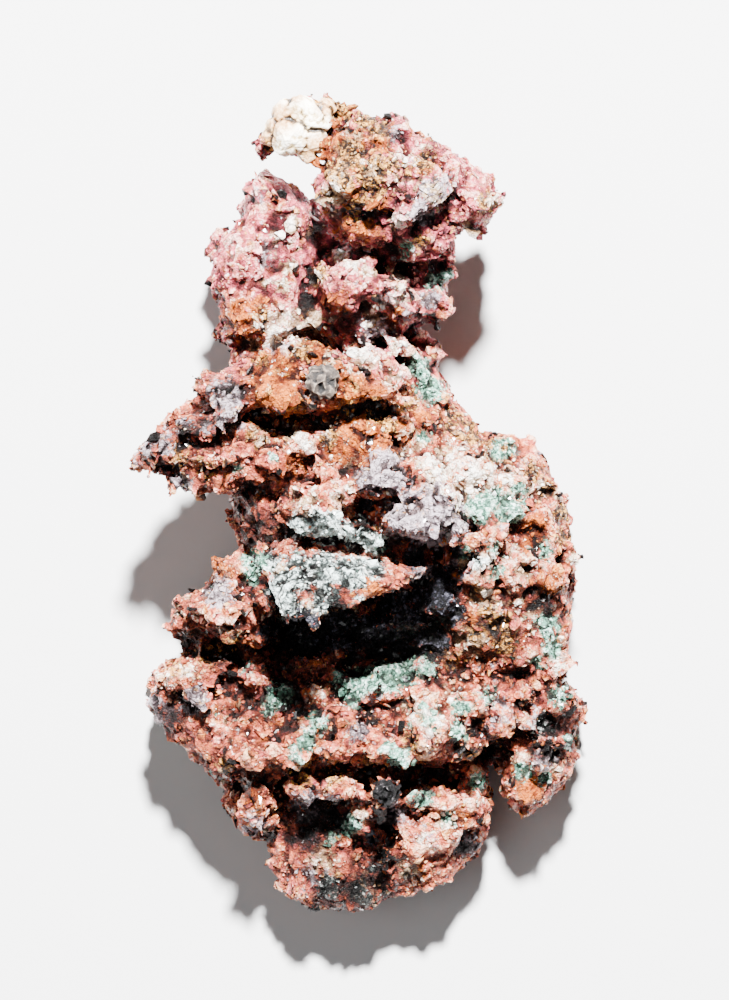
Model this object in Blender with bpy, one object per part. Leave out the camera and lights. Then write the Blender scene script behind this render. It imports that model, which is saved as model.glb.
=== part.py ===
"""A native copper nugget, 40 mm long, lying on its back.

The nugget is one hackly mass of copper with a lump of calcite crystals grown into its tip.
Z is up, away from the surface that it rests on, and Y runs along it from the tail to the calcite.
The origin is on that surface, under the middle of the nugget. Sizes in the tables are millimetres.
"""

import math
import random

import bmesh
import bpy
from mathutils import Euler, Matrix, Vector, noise

MM = 0.001

# Driving dimensions, in millimetres.
LENGTH = 40.0
REST_HEIGHT = 0.0  # the plane that the worn patches of the back lie in
SEAM = 0.3  # between the calcite and the copper that it sits in
FUSE_GRAIN = 0.26  # how finely the lobes and rocks melt together
BROKEN_DEPTH = 0.42  # how far the broken surface rises and falls
BROKEN_SPACING = 1.7
KNOB_SPACING = 1.5  # between the knobs scattered over the sides and the back
KNOB_INSET = 0.25  # how far the middle of a side knob lies inside the lobe
COPPER_TRIANGLES = 8300

# A lobe's rings from its back to its front: size of the outline, and share of the height.
LOBE_RINGS = ((0.50, 0.0), (0.80, 0.12), (0.96, 0.32), (1.0, 0.55), (0.95, 0.78), (0.80, 0.93), (0.45, 1.0))
ROCK_CORNERS = 26


class Lobe:
    """A thick leaf of metal: an outline seen from the front, its back and front height, and how
    much its front climbs per millimetre of x and y. A plate's back climbs as its front does."""

    def __init__(self, outline, back, front, climb=(0.0, 0.0), plate=False):
        self.outline = outline
        self.back = back
        self.front = front
        self.climb = climb
        self.plate = plate


# Each rock is (x, y, top, half length, half width, half height, turn in degrees).

HEAD = Lobe(
    outline=[
        (-1.9, 17.9), (-1.2, 19.0), (-0.4, 19.3), (0.4, 19.0), (1.7, 19.2), (2.6, 18.4), (4.3, 17.5),
        (5.8, 16.3), (6.4, 15.8), (7.1, 15.0), (6.8, 14.3), (5.9, 13.6), (4.8, 13.1), (3.8, 12.0),
        (2.5, 11.7), (1.6, 12.6), (-0.5, 12.7), (-1.3, 13.7), (-2.0, 14.9), (-2.0, 16.6),
    ],
    back=5.6, front=11.4, climb=(-0.22, -0.30),
)
HEAD_ROCKS = [
    (0.9, 15.8, 13.8, 2.5, 1.9, 2.2, 20),  # brow
    (3.0, 14.9, 14.0, 1.9, 1.1, 1.6, 35),  # grey shards
    (-0.7, 15.5, 14.0, 1.2, 1.1, 1.4, 0),  # cream crust
    (-1.4, 14.7, 13.3, 0.75, 0.7, 1.0, 10),
    (-1.6, 14.2, 11.6, 0.6, 1.2, 1.4, 0),
    (-1.1, 13.4, 10.8, 0.6, 0.7, 1.2, 0),
    (-1.9, 13.2, 7.6, 0.7, 0.9, 1.6, 0),
    (0.3, 13.4, 12.3, 1.5, 0.8, 1.3, -10),  # orange chin
    (2.0, 13.7, 13.2, 0.6, 0.5, 0.9, 0),
    (5.0, 15.2, 11.7, 2.0, 1.4, 1.8, -35),  # wing
    (6.4, 14.7, 11.0, 0.6, 0.6, 1.0, 0),
    (3.6, 12.8, 11.3, 1.3, 0.9, 1.3, 25),
    (2.5, 12.1, 10.4, 0.6, 0.5, 0.7, 0),
    (5.1, 13.4, 10.4, 1.1, 0.4, 1.0, 20),
    (4.6, 12.4, 9.6, 0.6, 0.6, 0.9, 40),
    (1.8, 18.6, 10.7, 0.8, 0.65, 1.3, 0),  # crown
    (0.1, 18.3, 11.2, 1.3, 0.6, 1.0, 10),
    (0.8, 17.6, 12.4, 1.2, 0.7, 1.0, 0),
    (3.0, 17.2, 11.2, 1.2, 0.7, 1.0, -25),
    (4.4, 16.4, 11.3, 1.0, 0.7, 1.0, -35),
    (3.0, 16.3, 12.9, 0.8, 0.6, 0.8, 0),
    (-1.5, 17.4, 11.0, 0.8, 1.3, 1.1, 20),  # strap that carries the calcite
    (-2.1, 15.7, 10.2, 0.45, 0.8, 1.2, 0),
    (1.2, 12.3, 9.4, 1.3, 0.7, 1.2, 0),
    (3.1, 11.6, 8.8, 0.9, 0.6, 1.2, 0),
    (-2.8, 18.3, 9.0, 1.5, 1.2, 1.5, 0),  # socket of the calcite
    (-4.5, 17.7, 9.4, 0.8, 0.45, 1.0, -20),  # pink spur
    (-1.1, 19.1, 9.6, 0.9, 0.5, 1.2, -15),
]

BLADE = Lobe(
    outline=[
        (-5.3, 16.6), (-4.5, 16.2), (-3.3, 15.8), (-2.4, 14.9), (-2.1, 13.7), (-2.3, 12.0), (-2.7, 10.0),
        (-3.0, 8.2), (-4.4, 7.8), (-5.6, 7.6), (-7.1, 8.1), (-7.1, 9.4), (-7.5, 11.0), (-7.7, 12.4),
        (-7.1, 13.6), (-6.2, 14.0), (-5.8, 15.2),
    ],
    back=3.6, front=8.3, climb=(-0.16, -0.16),
)
BLADE_ROCKS = [
    (-5.6, 8.7, 10.3, 1.1, 1.05, 1.3, 0),  # foot
    (-4.5, 14.5, 8.4, 1.3, 1.2, 1.0, 0),
    (-5.9, 12.2, 9.3, 1.1, 1.6, 1.2, 0),
    (-3.6, 13.1, 8.7, 0.9, 0.5, 0.8, 30),
    (-3.3, 12.3, 8.5, 0.45, 0.45, 0.6, 0),
    (-4.0, 10.6, 8.9, 1.1, 1.3, 1.0, 0),
    (-6.7, 13.3, 7.6, 0.5, 0.5, 0.8, 0),
    (-6.8, 11.0, 8.3, 0.5, 0.9, 0.9, 0),
    (-5.2, 16.0, 7.0, 0.3, 0.5, 0.7, 15),
    (-3.8, 8.5, 8.8, 0.9, 0.5, 0.8, 0),
    (-6.4, 8.0, 8.4, 0.5, 0.35, 0.6, 0),
    (-5.6, 7.2, 8.6, 0.9, 0.8, 1.6, 0),
    (-4.6, 7.2, 7.4, 1.2, 0.9, 1.8, 0),
]

COLLAR = Lobe(
    outline=[
        (-2.1, 11.4), (-1.6, 12.4), (-0.3, 13.2), (1.6, 13.2), (2.5, 11.8), (3.9, 10.8), (4.2, 10.1),
        (4.0, 9.5), (2.9, 8.9), (2.3, 8.2), (-0.8, 7.4), (-2.2, 8.4), (-2.6, 9.4),
    ],
    back=3.2, front=9.2, climb=(-0.1, -0.2),
)
COLLAR_ROCKS = [
    (-0.8, 10.6, 12.2, 1.3, 1.5, 1.5, 15),
    (-1.9, 11.2, 10.3, 0.45, 1.0, 1.0, 10),
    (1.2, 10.3, 11.7, 1.3, 1.1, 1.3, 0),
    (2.3, 9.7, 11.0, 1.0, 0.9, 1.1, 0),
    (3.4, 9.9, 10.1, 0.8, 0.9, 1.0, 0),
    (0.0, 11.6, 10.8, 0.7, 0.4, 0.6, -20),
    (3.5, 11.0, 8.8, 0.5, 0.4, 0.6, 0),
    (4.2, 11.2, 8.2, 0.35, 0.35, 0.8, 0),
    (4.3, 11.9, 8.8, 0.4, 0.3, 0.8, 40),
    (-2.4, 9.0, 8.6, 0.5, 0.5, 0.8, 0),
    (-2.3, 8.5, 7.0, 1.0, 0.8, 1.4, 0),
    (-2.6, 8.2, 5.2, 1.6, 0.9, 1.4, 0),
    (0.7, 8.4, 9.2, 1.1, 0.45, 0.8, 0),
]

TRUNK = Lobe(
    outline=[
        (-5.7, -1.8), (-6.6, -1.0), (-6.6, 0.1), (-5.6, 1.4), (-4.6, 4.0), (-3.0, 6.4), (-0.6, 8.0),
        (2.4, 8.7), (3.1, 8.2), (4.0, 8.0), (3.8, 6.5), (4.4, 5.2), (5.3, 4.4), (5.6, 3.4), (6.4, 1.0),
        (6.2, -3.0), (4.2, -5.0), (0.0, -4.6), (-4.0, -4.2),
    ],
    back=0.4, front=9.6, climb=(-0.20, -0.08),
)
TRUNK_ROCKS = [
    (0.1, 7.2, 10.8, 1.1, 0.75, 1.0, 0),
    (2.0, 7.8, 9.8, 1.0, 0.6, 0.9, 0),
    (3.5, 7.5, 7.9, 0.6, 0.7, 1.0, 0),
    (2.8, 6.7, 9.0, 0.6, 0.5, 0.7, -20),
    (3.5, 5.9, 8.1, 0.65, 0.7, 0.9, 0),
    (1.5, 6.3, 10.7, 1.1, 0.7, 1.0, -15),
    (4.0, 4.9, 7.6, 0.7, 0.6, 0.9, 0),
    (5.0, 4.2, 7.4, 0.55, 0.45, 0.7, 0),
    (3.0, 4.2, 9.2, 1.0, 0.7, 0.9, 0),
    (5.0, 3.2, 7.9, 1.0, 0.8, 1.0, 0),
    (-5.2, -0.8, 8.4, 0.9, 0.9, 1.2, 0),
    (-4.9, -1.6, 7.9, 0.8, 0.6, 1.0, 0),
]

LEDGE = Lobe(
    outline=[
        (-8.3, 5.4), (-8.3, 6.1), (-7.4, 6.4), (-6.0, 6.2), (-5.3, 6.7), (-4.6, 7.7), (-3.4, 8.0),
        (-2.2, 8.0), (-0.6, 7.1), (1.8, 5.8), (2.2, 5.0), (0.8, 5.0), (-1.2, 4.5), (-4.0, 4.4), (-6.4, 4.7),
    ],
    back=8.4, front=11.8, climb=(0.05, -0.15),
)
ARM = Lobe(
    outline=[
        (-11.4, 2.8), (-10.5, 3.4), (-9.9, 3.9), (-8.8, 4.9), (-7.0, 4.6), (-4.4, 3.6), (-1.8, 3.5),
        (0.6, 4.2), (1.6, 2.5), (-1.0, 0.9), (-4.5, 0.8), (-6.4, 0.5), (-7.2, 0.7), (-8.2, 0.9),
        (-8.9, 1.5), (-10.1, 1.8), (-11.4, 2.1),
    ],
    back=6.8, front=10.9, climb=(0.03, 0.0),
)
ARM_WEB = Lobe(
    outline=[
        (-9.2, 3.6), (-7.6, 5.6), (-4.6, 7.0), (-1.6, 7.2), (1.4, 5.4), (1.4, 2.4), (-2.0, 1.4), (-7.0, 1.8),
    ],
    back=5.8, front=9.2,
)
ARM_ROCKS = [
    # The upper ledge, which overhangs a dark crack.
    (-7.3, 5.6, 12.3, 1.0, 0.7, 1.2, 15),
    (-6.5, 5.0, 13.0, 0.9, 0.8, 1.2, 30),  # grey knob
    (-8.2, 5.95, 11.6, 0.3, 0.4, 0.5, 0),
    (-4.7, 7.0, 11.7, 1.3, 0.45, 0.9, 45),  # grey wedge
    (-2.3, 7.4, 12.4, 0.9, 0.6, 0.8, 10),
    (-3.3, 7.2, 12.0, 0.6, 0.5, 0.7, 0),
    (-1.2, 7.0, 12.1, 0.55, 0.3, 0.5, -20),
    (-4.3, 6.3, 12.3, 1.0, 0.7, 0.9, 0),
    (-4.0, 5.1, 13.1, 1.3, 0.8, 1.2, 0),
    (-1.9, 5.7, 12.6, 1.5, 1.2, 1.6, 0),  # bed of the pebble
    (-2.3, 4.85, 12.8, 0.9, 0.45, 0.9, 0),
    (-0.3, 5.8, 12.6, 1.1, 0.7, 1.0, -20),
    (-0.8, 5.0, 12.4, 0.8, 0.45, 0.8, 0),
    (1.1, 5.5, 11.9, 1.2, 0.55, 0.9, -15),
    (2.0, 5.0, 11.2, 0.8, 0.35, 0.7, -10),
    # The band below the crack.
    (-10.4, 2.6, 11.7, 0.7, 0.5, 0.8, 20),
    (-9.4, 3.05, 12.1, 0.6, 0.65, 0.8, 0),  # grey disc
    (-8.7, 3.9, 11.8, 0.9, 0.6, 0.9, 40),
    (-9.2, 2.3, 11.5, 0.7, 0.4, 0.6, 0),
    (-7.6, 3.5, 12.1, 0.8, 0.4, 0.8, 20),
    (-7.9, 2.1, 12.0, 0.8, 0.6, 0.9, 0),
    (-8.4, 1.15, 11.2, 0.5, 0.5, 0.6, 0),
    (-6.6, 4.1, 12.6, 0.8, 0.4, 0.8, -20),
    (-6.4, 2.2, 12.4, 1.2, 0.65, 1.0, 10),
    (-5.2, 2.9, 12.2, 0.8, 0.6, 0.8, 0),
    (-4.1, 1.8, 12.9, 1.1, 0.7, 1.0, -15),  # red lump
    (-5.4, 1.3, 12.0, 0.9, 0.4, 0.8, -15),
    (-2.9, 2.9, 12.4, 0.8, 0.7, 0.8, 0),
    (-1.7, 1.7, 12.6, 0.9, 0.8, 1.0, 0),
    (-6.6, 0.9, 11.3, 0.4, 0.35, 0.6, 0),
]
# Each horn is (root x, y, z, tip x, y, z, root radius).
ARM_HORNS = [
    (-10.3, 2.3, 9.4, -10.15, 1.0, 9.6, 0.55),
    (-9.0, 1.5, 9.3, -9.6, -0.1, 9.5, 0.6),
    (-8.2, 1.4, 9.3, -7.9, -0.2, 9.5, 0.6),
    (-10.7, 2.6, 9.4, -11.4, 1.9, 9.6, 0.5),
]

CENTRE = Lobe(
    outline=[
        (-4.6, 0.8), (-2.5, 1.6), (-0.3, 1.5), (0.1, 2.6), (1.2, 3.2), (2.2, 2.4), (3.8, 1.6), (5.0, 0.8),
        (5.2, -0.8), (4.7, -1.8), (3.0, -1.9), (1.5, -1.7), (-1.0, -2.2), (-3.6, -2.1), (-4.7, -1.0),
    ],
    back=6.0, front=11.0, climb=(0.0, -0.1),
)
CENTRE_ROCKS = [
    (0.8, 1.9, 14.4, 0.95, 1.0, 2.2, 10),  # upper purple knob
    (1.35, 2.8, 13.4, 0.4, 0.5, 0.7, 0),
    (1.4, 0.9, 14.6, 1.1, 0.6, 2.0, -20),
    (0.2, 0.8, 14.2, 0.6, 0.8, 2.0, 15),
    (-0.6, 0.6, 14.0, 0.5, 0.7, 0.9, 10),
    (-1.7, 0.5, 13.6, 0.9, 0.7, 1.0, 0),
    (-2.9, 0.6, 13.4, 0.9, 0.6, 0.9, -10),
    (-2.3, -0.4, 14.4, 1.5, 0.55, 1.8, -5),  # pink and white ledge
    (-3.8, -0.3, 13.2, 0.7, 0.6, 0.8, 0),
    (-1.0, -1.15, 14.1, 1.7, 0.5, 1.9, -12),  # grey-green slope
    (-2.4, -1.4, 13.4, 1.3, 0.35, 0.8, -8),
    (0.4, -1.7, 13.8, 0.8, 0.45, 0.9, -25),
    (2.9, -0.8, 15.2, 1.9, 1.1, 2.4, 0),  # large purple knob
    (2.6, 0.5, 14.6, 1.0, 0.45, 0.8, 10),
    (4.2, 0.3, 14.4, 0.9, 0.6, 1.8, -25),
    (4.5, -1.1, 14.5, 0.6, 1.0, 2.0, 10),
    (1.4, -0.9, 14.6, 0.5, 0.5, 1.4, 0),
    (3.2, 1.6, 12.9, 1.3, 0.9, 1.0, -15),
]

SHELF = Lobe(
    outline=[
        (-5.2, -2.6), (-4.2, -2.2), (-2.5, -2.6), (-1.0, -2.3), (0.2, -2.3), (1.2, -2.9), (2.4, -2.9),
        (3.5, -3.1), (3.2, -3.8), (1.9, -4.2), (0.9, -4.6), (-1.1, -5.0), (-1.9, -5.6), (-3.4, -5.9),
        (-4.2, -5.3), (-4.7, -4.0),
    ],
    back=11.5, front=13.4, climb=(0.0, -0.62), plate=True,
)
SHELF_ROCKS = [
    (-3.6, -2.3, 13.2, 1.1, 0.7, 3.4, 0),  # roots of the shelf
    (-1.7, -2.7, 13.0, 1.6, 0.7, 3.2, 0),
    (-3.0, -3.6, 13.6, 1.4, 1.0, 2.6, 0),
    (-4.9, -2.7, 12.6, 0.45, 0.25, 0.4, 10),  # pointed corner
    (-3.3, -4.6, 14.6, 1.1, 0.9, 0.7, 0),
    (-0.9, -3.7, 14.1, 1.5, 0.9, 0.8, 0),
    (-2.7, -5.5, 14.7, 0.9, 0.4, 0.6, 0),
    (1.0, -3.8, 13.8, 1.0, 0.5, 0.7, 20),
    (2.6, -3.5, 13.0, 0.8, 0.4, 0.8, 15),
    (-2.6, -2.9, 13.0, 1.2, 0.4, 0.7, 0),
]

WAIST = Lobe(
    outline=[
        (-5.0, -3.6), (-7.0, -6.0), (-8.9, -6.4), (-9.0, -7.6), (-6.0, -8.6), (0.0, -9.4), (6.0, -8.6),
        (6.6, -4.0), (0.0, -2.8),
    ],
    back=1.4, front=5.2,
)
CAVE_ROCKS = [
    (-7.6, -6.8, 5.8, 1.4, 0.6, 1.6, -8),
    (-5.4, -7.4, 6.4, 1.2, 0.5, 1.2, 0),
    (3.8, -4.4, 10.2, 1.1, 1.2, 1.5, 0),
    (2.7, -5.5, 8.8, 1.3, 1.1, 1.5, 20),
    (4.6, -5.6, 9.4, 1.0, 1.0, 1.3, 0),
    (1.6, -6.6, 7.4, 1.2, 0.9, 1.3, 0),
    (3.3, -6.8, 8.0, 1.2, 0.9, 1.2, 0),
    (-0.6, -7.2, 6.6, 1.2, 0.7, 1.2, 0),
    (-3.0, -7.0, 5.6, 1.8, 0.9, 1.4, 0),
    (-1.0, -5.6, 6.4, 2.4, 1.5, 2.0, 0),
    (-3.8, -5.2, 6.4, 1.3, 1.6, 2.0, 0),
]

SHOULDER = Lobe(
    outline=[
        (3.4, 3.6), (5.4, 4.1), (5.8, 3.4), (7.2, 3.4), (8.4, 3.0), (9.2, 2.2), (9.3, 1.1), (10.0, 0.4),
        (10.2, -1.0), (10.4, -2.3), (10.3, -4.2), (10.3, -5.2), (10.1, -6.6), (10.3, -7.4), (9.9, -8.6),
        (7.4, -9.0), (4.6, -8.2), (3.4, -6.0), (3.0, -1.0),
    ],
    back=0.4, front=8.6, climb=(-0.38, -0.06),
)
SHOULDER_ROCKS = [
    (6.6, 2.6, 8.4, 1.6, 0.7, 1.2, 0),
    (8.2, 2.2, 7.5, 1.0, 0.8, 1.0, -20),
    (5.2, 1.6, 10.6, 1.4, 0.9, 1.2, 0),
    (7.2, 1.0, 9.8, 1.4, 0.8, 1.1, -10),
    (9.0, 1.1, 7.6, 0.5, 0.5, 0.8, 0),
    (9.75, 0.4, 7.5, 0.4, 0.5, 0.7, 30),  # white grain
    (5.9, -0.3, 11.0, 0.9, 0.9, 1.1, 0),
    (7.3, -0.4, 10.3, 0.8, 0.8, 1.0, 0),
    (6.5, -1.5, 11.2, 0.8, 0.8, 1.0, 0),
    (8.7, -0.9, 9.4, 1.0, 0.9, 1.1, 0),
    (5.4, -1.9, 11.3, 0.6, 0.6, 0.8, 0),
    (5.9, -2.9, 11.1, 1.0, 0.45, 0.9, 25),
    (6.9, -3.4, 10.7, 1.0, 0.6, 1.0, 20),
    (5.6, -4.0, 10.6, 0.9, 0.45, 0.8, -20),
    (7.6, -4.1, 10.0, 0.8, 0.6, 0.9, 0),
    (7.8, -2.6, 9.8, 0.8, 0.5, 0.8, 0),
    (9.2, -3.6, 9.7, 0.9, 1.0, 1.2, 10),  # knob over a dark hollow
    (9.4, -2.1, 8.8, 0.6, 0.8, 0.9, 0),
    (10.45, -2.7, 7.6, 0.5, 0.45, 0.6, 0),
    (9.85, -4.9, 7.4, 0.35, 0.5, 0.6, 0),
    (6.3, -5.4, 9.9, 1.5, 0.45, 0.8, -10),
    (7.3, -6.1, 9.3, 1.0, 0.6, 0.9, 0),
    (5.5, -6.7, 9.2, 0.9, 0.6, 0.9, 0),
    (8.6, -6.5, 8.4, 0.9, 0.9, 1.0, 0),
    (9.4, -6.2, 7.9, 0.5, 0.6, 0.7, 0),
    (9.65, -7.3, 7.4, 0.45, 0.7, 0.8, 0),
    (7.5, -7.7, 8.6, 1.2, 0.45, 0.9, -15),
    (4.3, -7.5, 7.8, 0.7, 0.5, 0.7, 0),
    (6.0, -8.3, 8.2, 0.9, 0.5, 0.8, 0),
    (8.9, -8.6, 7.3, 0.7, 0.6, 0.8, 0),
]

FIN = Lobe(
    outline=[
        (-5.0, -2.0), (-6.0, -2.8), (-6.6, -3.5), (-7.3, -4.2), (-8.2, -4.6), (-9.2, -5.0), (-9.3, -5.5),
        (-9.2, -6.3), (-7.5, -6.4), (-6.7, -6.9), (-5.2, -7.2), (-4.2, -6.9), (-3.9, -4.5),
    ],
    back=2.6, front=7.4, climb=(0.08, -0.34),
)
FIN_ROCKS = [
    (-6.5, -3.3, 7.3, 0.8, 0.7, 0.9, -30),
    (-5.6, -3.2, 7.8, 0.8, 0.9, 1.0, 0),
    (-6.9, -4.3, 8.4, 0.8, 0.45, 0.7, 15),
    (-8.2, -5.3, 8.2, 0.8, 0.6, 0.8, 25),
    (-6.8, -5.4, 9.4, 1.4, 0.9, 1.1, 0),
    (-5.3, -5.5, 9.2, 0.8, 0.9, 1.0, 0),
    (-9.0, -4.9, 7.5, 0.35, 0.3, 0.5, 0),
    (-6.4, -6.6, 8.8, 0.8, 0.35, 0.7, 0),
    (-5.2, -6.9, 8.3, 0.45, 0.35, 0.5, 0),
]
FIN_HORNS = [
    (-8.6, -5.2, 5.4, -9.6, -6.7, 5.6, 0.65),
]

BELLY_LEFT = Lobe(
    outline=[
        (-4.6, -7.5), (-6.5, -8.0), (-8.2, -7.5), (-9.6, -7.9), (-10.6, -9.0), (-10.4, -9.8), (-10.1, -10.5),
        (-9.5, -11.4), (-8.7, -12.2), (-8.2, -13.1), (-6.6, -14.0), (-3.9, -13.8), (-1.6, -13.3),
        (0.8, -12.5), (0.8, -8.0), (-2.0, -7.2),
    ],
    back=0.4, front=7.6, climb=(0.05, -0.30),
)
BELLY_RIGHT = Lobe(
    outline=[
        (-0.6, -7.8), (2.0, -7.2), (5.0, -6.5), (8.0, -6.5), (9.6, -7.6), (9.5, -9.1), (8.4, -10.5),
        (7.3, -11.6), (6.2, -12.2), (5.2, -12.8), (3.7, -13.3), (2.5, -12.8), (1.2, -13.2), (-0.8, -13.1),
    ],
    back=0.4, front=8.0, climb=(-0.10, -0.30),
)
BELLY_ROCKS = [
    (-9.0, -8.6, 8.6, 1.1, 0.8, 1.1, 10),
    (-10.0, -9.0, 7.0, 0.5, 0.55, 0.7, 0),
    (-7.4, -8.3, 8.2, 1.2, 0.6, 0.9, 0),
    (-5.5, -8.8, 8.9, 1.0, 0.7, 1.0, 0),  # red knob
    (-8.1, -9.5, 8.8, 0.9, 0.45, 0.8, -20),  # dark metal
    (-6.9, -10.1, 8.3, 0.8, 0.6, 0.8, -20),
    (-6.7, -11.2, 8.6, 1.3, 0.5, 0.9, -25),
    (-5.2, -10.9, 8.7, 0.9, 0.6, 0.9, -30),
    (-5.6, -12.4, 9.8, 1.6, 0.9, 1.2, -15),  # rim
    (-3.9, -9.1, 7.8, 0.7, 0.35, 0.6, 0),
    (-4.2, -10.1, 8.3, 0.35, 0.8, 0.7, 25),
    (-2.1, -9.4, 8.3, 0.8, 0.4, 0.7, 0),
    (-0.6, -9.0, 8.2, 0.8, 0.5, 0.7, 0),
    (-2.6, -11.2, 9.2, 1.3, 0.45, 0.8, 10),
    (-3.6, -12.5, 9.8, 1.2, 0.8, 1.1, 0),
    (-1.4, -12.3, 9.7, 1.1, 0.7, 1.0, 0),
    (-0.8, -10.2, 9.0, 1.2, 0.5, 0.9, 0),
    (1.0, -9.4, 9.0, 1.3, 0.6, 0.9, 10),
    (1.2, -8.3, 8.2, 1.3, 0.4, 0.7, 0),
    (3.1, -8.2, 8.6, 0.8, 0.55, 0.8, 0),
    (-0.2, -11.3, 9.5, 1.5, 0.4, 0.9, 5),
    (0.9, -12.2, 10.1, 1.3, 0.8, 1.1, 0),
    (3.6, -11.5, 10.3, 1.7, 1.4, 1.4, 0),
    (3.3, -9.7, 9.3, 1.1, 0.7, 0.9, 0),
    (5.4, -10.0, 9.2, 1.2, 0.9, 1.0, 0),
    (6.9, -10.8, 8.6, 0.9, 0.7, 0.9, 0),
    (5.6, -12.1, 9.0, 0.8, 0.45, 0.8, 30),
    (7.9, -9.4, 8.1, 1.0, 0.6, 0.9, 0),
    (2.2, -12.7, 9.6, 0.6, 0.4, 0.6, -40),
]

TAIL = Lobe(
    outline=[
        (-6.7, -13.3), (-6.5, -15.0), (-6.1, -16.0), (-4.9, -16.8), (-4.6, -17.7), (-4.2, -18.6),
        (-2.9, -19.8), (-1.7, -20.3), (-0.5, -20.4), (0.5, -20.0), (1.7, -19.5), (3.9, -19.0),
        (4.8, -18.4), (5.6, -17.6), (6.3, -16.7), (6.4, -15.5), (6.3, -14.4), (6.5, -13.6), (6.2, -12.0),
        (0.0, -11.0), (-5.0, -12.0),
    ],
    back=0.8, front=5.4, climb=(0.0, 0.10),
)
TAIL_ROCKS = [
    (-5.1, -14.8, 8.3, 1.0, 1.2, 1.6, 15),
    (-4.7, -15.9, 6.8, 0.6, 0.5, 0.9, 0),
    (-2.4, -14.2, 8.8, 1.5, 0.7, 1.2, -10),
    (-0.8, -14.1, 8.4, 1.0, 0.8, 1.2, 0),
    (-3.0, -14.8, 7.8, 0.8, 0.4, 0.9, -35),
    (3.4, -14.8, 7.7, 2.2, 0.9, 1.4, -5),
    (3.0, -16.4, 7.4, 2.3, 1.2, 1.6, -5),
    (5.5, -15.2, 6.8, 0.8, 1.2, 1.4, 0),
    (5.5, -13.6, 6.2, 0.9, 0.6, 0.9, 0),
    (0.1, -15.7, 7.2, 0.8, 1.2, 1.4, 25),
    (2.4, -17.8, 6.2, 2.0, 0.8, 1.2, 5),
    (-2.6, -17.7, 5.9, 1.4, 1.0, 1.2, -15),
    (-0.9, -18.4, 5.5, 1.1, 0.9, 1.1, 0),
    (-1.2, -19.3, 4.4, 1.2, 0.6, 1.0, -10),
    (0.4, -18.9, 4.8, 0.9, 0.6, 0.9, 10),
    (4.0, -18.0, 5.2, 0.8, 0.6, 0.9, 0),
    (1.15, -14.5, 9.4, 0.7, 0.7, 2.4, 0),  # stub that carries the black grain
    (0.9, -15.2, 8.0, 0.8, 0.7, 1.6, 0),
]

FLAP = Lobe(
    outline=[
        (8.4, -8.9), (9.7, -9.0), (10.7, -9.5), (11.0, -10.2), (10.7, -11.1), (10.3, -12.2), (10.3, -13.1),
        (9.8, -14.0), (9.0, -14.7), (8.1, -15.2), (7.4, -14.9), (7.2, -13.9), (7.4, -12.6), (7.5, -11.2),
        (7.8, -9.8),
    ],
    back=1.6, front=5.8, climb=(0.0, 0.0),
)
FLAP_ROCKS = [
    (9.9, -10.0, 7.5, 1.0, 0.8, 1.1, -20),
    (6.9, -12.3, 5.4, 1.0, 1.0, 1.8, 0),
    (7.3, -14.4, 5.6, 0.5, 0.6, 1.0, 0),
    (10.5, -10.3, 6.2, 0.5, 0.7, 1.0, 0),
    (8.3, -10.6, 7.4, 0.8, 0.9, 1.0, 0),
    (9.3, -11.8, 7.4, 1.1, 0.45, 0.9, 10),
    (8.7, -12.7, 7.2, 0.8, 0.4, 0.8, -10),
    (9.5, -13.1, 6.3, 0.7, 0.7, 0.9, 0),
    (8.2, -14.0, 6.6, 0.9, 0.7, 1.0, 15),
]

# The knobs of the back. Those that reach below the resting plane are worn flat there.
BACK_ROCKS = [
    (-3.4, -10.6, 2.8, 2.6, 2.2, 2.2, 20),
    (3.8, -10.4, 2.8, 2.6, 2.1, 2.2, -15),
    (0.2, -6.6, 2.6, 2.0, 1.6, 1.7, 0),
    (6.6, -1.6, 2.8, 2.2, 2.6, 2.2, 0),
    (0.6, 4.6, 2.8, 2.6, 2.2, 2.2, 30),
    (-3.2, 0.4, 2.8, 1.8, 1.6, 1.8, 0),
    (1.8, -15.4, 3.4, 2.2, 1.5, 1.6, 0),
    (7.0, -6.8, 3.2, 1.8, 1.4, 1.7, 0),
    (0.6, 9.6, 5.4, 1.9, 2.0, 1.6, 0),
    (1.6, 14.8, 8.0, 2.4, 1.8, 1.8, -20),
    (-5.0, 11.6, 6.0, 1.5, 2.2, 1.7, 10),
    (-6.6, 3.6, 9.0, 2.0, 1.2, 1.6, 15),
    (-6.6, -4.6, 4.8, 1.5, 1.3, 1.5, 0),
    (-8.2, -9.4, 4.4, 1.3, 1.2, 1.6, 0),
    (9.2, -11.4, 4.0, 1.1, 1.8, 1.4, 0),
]

# Each crystal is (x, y, z, three half edges, three turns in degrees).
CALCITE_CRYSTALS = [
    (-3.35, 17.75, 9.8, 1.00, 0.80, 0.85, 20, -15, -35),
    (-2.6, 19.1, 9.7, 1.15, 0.75, 0.85, -10, 25, 20),
    (-2.2, 18.2, 10.0, 0.70, 0.95, 0.75, 35, 10, 10),
    (-2.5, 17.3, 9.6, 0.75, 0.65, 0.75, 10, 30, 50),
    (-3.6, 18.9, 9.5, 0.75, 0.70, 0.75, 40, 20, 0),
    (-1.7, 19.2, 9.5, 0.65, 0.55, 0.70, 15, 40, 70),
    (-2.9, 18.4, 9.3, 1.00, 0.95, 0.80, 0, 10, 30),
]
CRYSTAL_SHEAR = 0.27  # how far a cleavage block of calcite leans
CRYSTAL_CHIPS = 5

PEBBLE = (-1.9, 5.85, 13.15, 0.95, 0.9, 0.85, 0)
BLACK_GRAIN = (1.25, -14.3, 9.8, 0.72, 0.62, 0.75, -15)


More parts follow.
